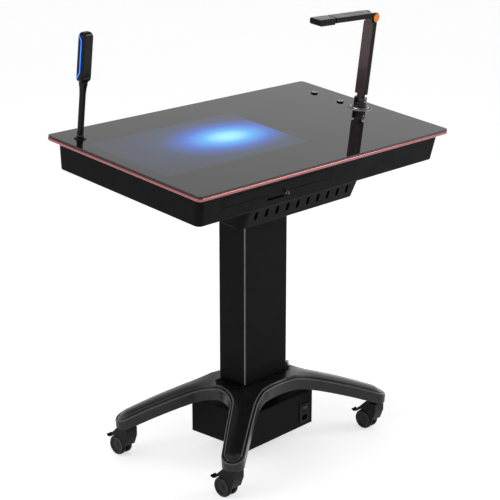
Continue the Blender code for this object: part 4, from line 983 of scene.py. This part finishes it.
def make_drawer():
    outline = drawer_outline(0.0)
    outer = [(x, front_face(z), z) for x, z in outline]
    inner = [(x, front_face(z) + DRAWER_THICK, z) for x, z in outline]
    face = front_face(LATCH_AT[1])
    front = softened(skin([outer, inner]), 0.0006, 3)
    front = cut(front, rod("Y", 0.0034, face - 0.02, face + 0.02, LATCH_AT, 32))
    piece("drawer_front_shown", front, "coat", "drawer_front", DESK)
    refined("drawer_tray", "coat", 0.0004)
    refined("keyboard", "plastic", 0.0008, 3)
    refined("keyboard_keys", "keys", 0.0007, 3)
    piece("drawer_latch_shown", latch_shape(), "arm_top", "drawer_latch", DESK, sharp=30.0)


# ---- microphone and knobs ----

def mic_head_shape():
    """Flat rounded head with grille slots in its front and back."""
    low = MIC_POLE_TOP + GAP
    sections = [(low, 0.0130, 0.0100, 0.0050), (low + 0.0012, 0.0152, 0.0110, 0.0056),
                (low + 0.0030, 0.0174, 0.0120, 0.0062), (low + 0.0060, 0.0191, 0.0131, 0.0071),
                (low + 0.0100, 0.0200, 0.0139, 0.0079), (low + 0.0150, 0.0200, 0.0140, 0.0080)]
    for step in range(1, 10):
        sections.append((low + 0.015 + step * 0.0110, 0.0200, 0.0140, 0.0080))
    for drop, half_x, half_y, radius in ((0.0150, 0.0200, 0.0140, 0.0080), (0.0100, 0.0193, 0.0133, 0.0080),
                                         (0.0060, 0.0178, 0.0120, 0.0074), (0.0030, 0.0156, 0.0101, 0.0065),
                                         (0.0010, 0.0126, 0.0076, 0.0050), (0.0, 0.0090, 0.0050, 0.0030)):
        sections.append((MIC_HEAD_TOP - drop, half_x, half_y, radius))
    head = skin([level(rounded_rectangle(half_x, half_y, radius, 10, MIC_AT), height)
                 for height, half_x, half_y, radius in sections])
    slots = []
    for row in range(9):
        outline = rounded_rectangle(0.0125, 0.0011, 0.0010, 5, (MIC_AT[0], low + 0.078 + row * 0.0056))
        for y in (-0.0150, 0.0142):
            slots.append(extruded(outline, MIC_AT[1] + y, MIC_AT[1] + y + 0.0012, "Y"))
    return cut(head, gathered(slots))


def make_microphone():
    at = (*MIC_AT, 0)
    top = GLASS_TOP + GAP
    ring = turned([(0.0180, GLASS_BOTTOM), (0.0180, top + 0.0014), (0.0176, top + 0.0021),
                   (0.0165, top + 0.0028), (0.0150, top + 0.0030), (0.0086, top + 0.0030), (0.0086, -0.0100),
                   (0.0097, -0.0100), (0.0097, GLASS_BOTTOM)], 64, ring=True)
    piece("mic_socket_shown", moved(ring, at), "gloss", "mic_socket", DESK)
    foot = top + 0.0030 + GAP
    pole = [(0.0082, -0.0120), (0.0082, foot), (0.0108, foot), (0.0112, foot + 0.0006),
            (0.0112, foot + 0.0035), (0.0108, foot + 0.0050), (0.0099, foot + 0.0075), (0.0095, foot + 0.010),
            (0.0095, 0.136), (0.0097, 0.143), (0.0101, 0.150), (0.0107, 0.157), (0.0115, 0.163),
            (0.0123, 0.167), (0.0130, 0.171), (0.0132, 0.174), (0.0132, MIC_POLE_TOP - 0.0008),
            (0.0126, MIC_POLE_TOP)]
    piece("mic_pole_shown", moved(turned(pole, 64), at), "gloss", "mic_pole", DESK, sharp=50.0)
    piece("mic_head_shown", mic_head_shape(), "gloss", "mic_head", DESK, sharp=45.0)
    for side in ("left", "right"):
        refined(f"mic_light_{side}", "blue", 0.0003, 2)


def is_cap(face):
    return face.normal.z > 0.5 and face.calc_center_median().z > GLASS_TOP + GAP


def make_knobs():
    low = GLASS_TOP + GAP
    for name, (x, y) in KNOBS.items():
        knob = turned([(0.0030, DECK_BOTTOM - 0.0018), (0.0030, GLASS_BOTTOM), (0.0113, GLASS_BOTTOM),
                       (0.0113, low + 0.0034), (0.0109, low + 0.0041), (0.0100, low + 0.0047),
                       (0.0094, low + 0.0048), (0.0086, low + 0.0045), (0.0040, low + 0.0043),
                       (0.0010, low + 0.0042)], 144, knurl=0.014, teeth=36)
        piece(f"{name}_shown", moved(knob, (x, y, 0)), "plastic", name, DESK, sharp=50.0,
              other=("silver", is_cap))


# ---- document camera ----

def is_left(face):
    return face.normal.x < -0.55


def is_rim(face):
    """The camera ring's outer rim and the rim of its raised collar."""
    middle = face.calc_center_median()
    reach = math.hypot(middle.x - CAMERA_AT[0], middle.y - CAMERA_AT[1])
    return (reach > 0.0385 or 0.0279 < reach < 0.0312) and face.normal.z < 0.97


def camera_ring_shape():
    low = GLASS_TOP + GAP
    top = low + RING_RISE
    return turned([(0.0405, GLASS_BOTTOM), (0.0405, low + 0.0004), (0.0402, low + 0.0008),
                   (0.0396, low + 0.0011), (0.0320, low + 0.0014), (0.0306, low + 0.0018),
                   (0.0296, low + 0.0030), (0.0290, low + 0.0037), (0.0280, top), (0.0158, top),
                   (0.0158, -0.0120), (0.0195, -0.0120), (0.0195, GLASS_BOTTOM)], 96, ring=True)


def turret_shape():
    """Ribbed drum with a slot for the lower arm and a hole for its pin."""
    foot = GLASS_TOP + GAP + RING_RISE + GAP
    profile = [(0.0152, -0.0140), (0.0152, foot), (0.0212, foot), (0.0215, foot + 0.0004)]
    for step in range(7):
        height = foot + 0.0016 + step * 0.0030
        profile += [(0.0215, height), (0.0212, height + 0.0004), (0.0203, height + 0.0006),
                    (0.0203, height + 0.0012), (0.0212, height + 0.0014), (0.0215, height + 0.0018)]
    profile += [(0.0215, 0.0415), (0.0212, 0.0428), (0.0205, 0.0437), (0.0196, TURRET_TOP)]
    turret = cut(turned(profile, 72), block((-0.03, -0.0105, CAMERA_PIVOT - 0.0120), (0.03, 0.0105, 0.060)))
    return cut(turret, rod("Y", 0.0043, -0.03, 0.03, (0.0, CAMERA_PIVOT), 32))


def elbow_pin_shape():
    """Spool with a shallow cap on both ends."""
    rim = [(0.0132, -0.0232), (0.0138, -0.0229), (0.0140, -0.0224), (0.0140, -0.0213), (0.0040, -0.0213)]
    mirrored = [(radius, -height) for radius, height in rim[::-1]]
    return turned_to(turned([(0.0098, -0.0229)] + rim + mirrored + [(0.0100, 0.0228)], 64), "Y")


def lens_shape():
    low = ARM_AXIS - ARM_THICK / 2 - HEAD_DEPTH - LENS_DROP
    return turned([(0.0010, low - 0.0009), (0.0035, low - 0.0006), (0.0058, low + 0.0001),
                   (0.0077, low + 0.0012), (0.0077, low + 0.0044)], 48)


def make_camera():
    at = (*CAMERA_AT, 0)
    piece("camera_ring_shown", moved(camera_ring_shape(), at), "gloss", "camera_ring", DESK,
          other=("chrome", is_rim))
    piece("camera_turret_shown", moved(turret_shape(), at), "bronze", "camera_turret", DESK, sharp=30.0)
    pin = turned([(0.0034, -0.0205), (0.0040, -0.0199), (0.0040, 0.0199), (0.0034, 0.0205)], 32)
    piece("tilt_pin_shown", moved(turned_to(pin, "Y"), (*CAMERA_AT, CAMERA_PIVOT)), "steel", "tilt_pin", DESK)
    refined("lower_arm", "arm", 0.0009, 3, other=("bronze", is_left))
    refined("lower_arm_cover", "bronze", 0.0006, 3)
    refined("upper_arm", "arm", 0.0007, 3)
    refined("upper_arm_cover", "arm_top", 0.0004, 3)
    piece("elbow_pin_shown", elbow_pin_shape(), "orange", "elbow_pin", ELBOW)
    refined("camera_head", "arm", 0.0011, 4)
    refined("head_cover", "arm_top", 0.0004, 3)
    lens = moved(lens_shape(), (HEAD_END + LENS_FROM_END, 0, 0))
    piece("camera_lens_shown", lens, "lens", "camera_lens", ELBOW)


# ---- stage ----

def make_floor():
    made, tree, shader = new_material("pale_floor")
    shader.inputs["Roughness"].default_value = 0.80
    shader.inputs["Specular IOR Level"].default_value = 0.2
    linked(tree, tinted(tree, noise(tree, 0.6), (0.90, 0.90, 0.905), (0.93, 0.93, 0.93)),
           shader.inputs["Base Color"])
    shader.inputs["Emission Color"].default_value = (1.0, 1.0, 1.0, 1.0)
    shader.inputs["Emission Strength"].default_value = 0.56
    placed("floor", block((-45.0, -45.0, -0.06), (45.0, 45.0, -0.0008)), made)


def make_sky():
    """Soft surround, brightest at the horizon and below it."""
    world = bpy.data.worlds.new("studio")
    world.use_nodes = True
    tree = world.node_tree
    way = tree.nodes.new("ShaderNodeTexCoord")
    split = tree.nodes.new("ShaderNodeSeparateXYZ")
    linked(tree, way.outputs["Generated"], split.inputs["Vector"])
    greys = ((0.0, 1.0), (0.12, 0.90), (0.27, 0.52), (0.44, 0.45), (0.64, 0.17), (1.0, 0.16))
    back = tree.nodes["Background"]
    colour = colour_ramp(tree, split.outputs["Z"], [(height, (grey, grey, grey)) for height, grey in greys])
    linked(tree, colour, back.inputs["Color"])
    back.inputs["Strength"].default_value = 1.6
    bpy.context.scene.world = world


def area(name, location, target, size, energy):
    data = bpy.data.lights.new(name, "AREA")
    data.shape = "RECTANGLE"
    data.size, data.size_y = size
    data.energy = energy
    lamp = bpy.data.objects.new(name, data)
    lamp.location = location
    aim = Vector(target) - Vector(location)
    lamp.rotation_euler = aim.to_track_quat("-Z", "Y").to_euler()
    bpy.context.scene.collection.objects.link(lamp)


def make_stage():
    make_floor()
    make_sky()
    area("soft_top", (-0.6, 0.4, 3.6), (0.0, 0.0, 0.5), (2.6, 2.0), 22.0)
    area("soft_left", (-3.2, 0.8, 2.2), (0.0, 0.0, 0.6), (1.0, 2.4), 16.0)
    area("soft_right", (2.9, -2.9, 2.3), (0.0, -0.2, 0.9), (1.3, 0.8), 30.0)


def make_camera_view():
    data = bpy.data.cameras.new("view")
    data.sensor_width = 36.0
    data.lens = VIEW_LENS
    data.clip_end = 200.0
    camera = bpy.data.objects.new("view", data)
    camera.location = VIEW_PLACE
    camera.rotation_euler = (math.radians(90.0 - VIEW_DOWN), 0.0, math.radians(-VIEW_TURN))
    bpy.context.scene.collection.objects.link(camera)
    bpy.context.scene.camera = camera
    bpy.context.scene.view_settings.view_transform = "Standard"
    bpy.context.scene.view_settings.look = "None"


make_base()
make_column()
make_box()
make_casters()
make_top()
make_desk_housing()
make_under_housing()
make_modules()
make_drawer()
make_microphone()
make_knobs()
make_camera()
make_stage()
make_camera_view()
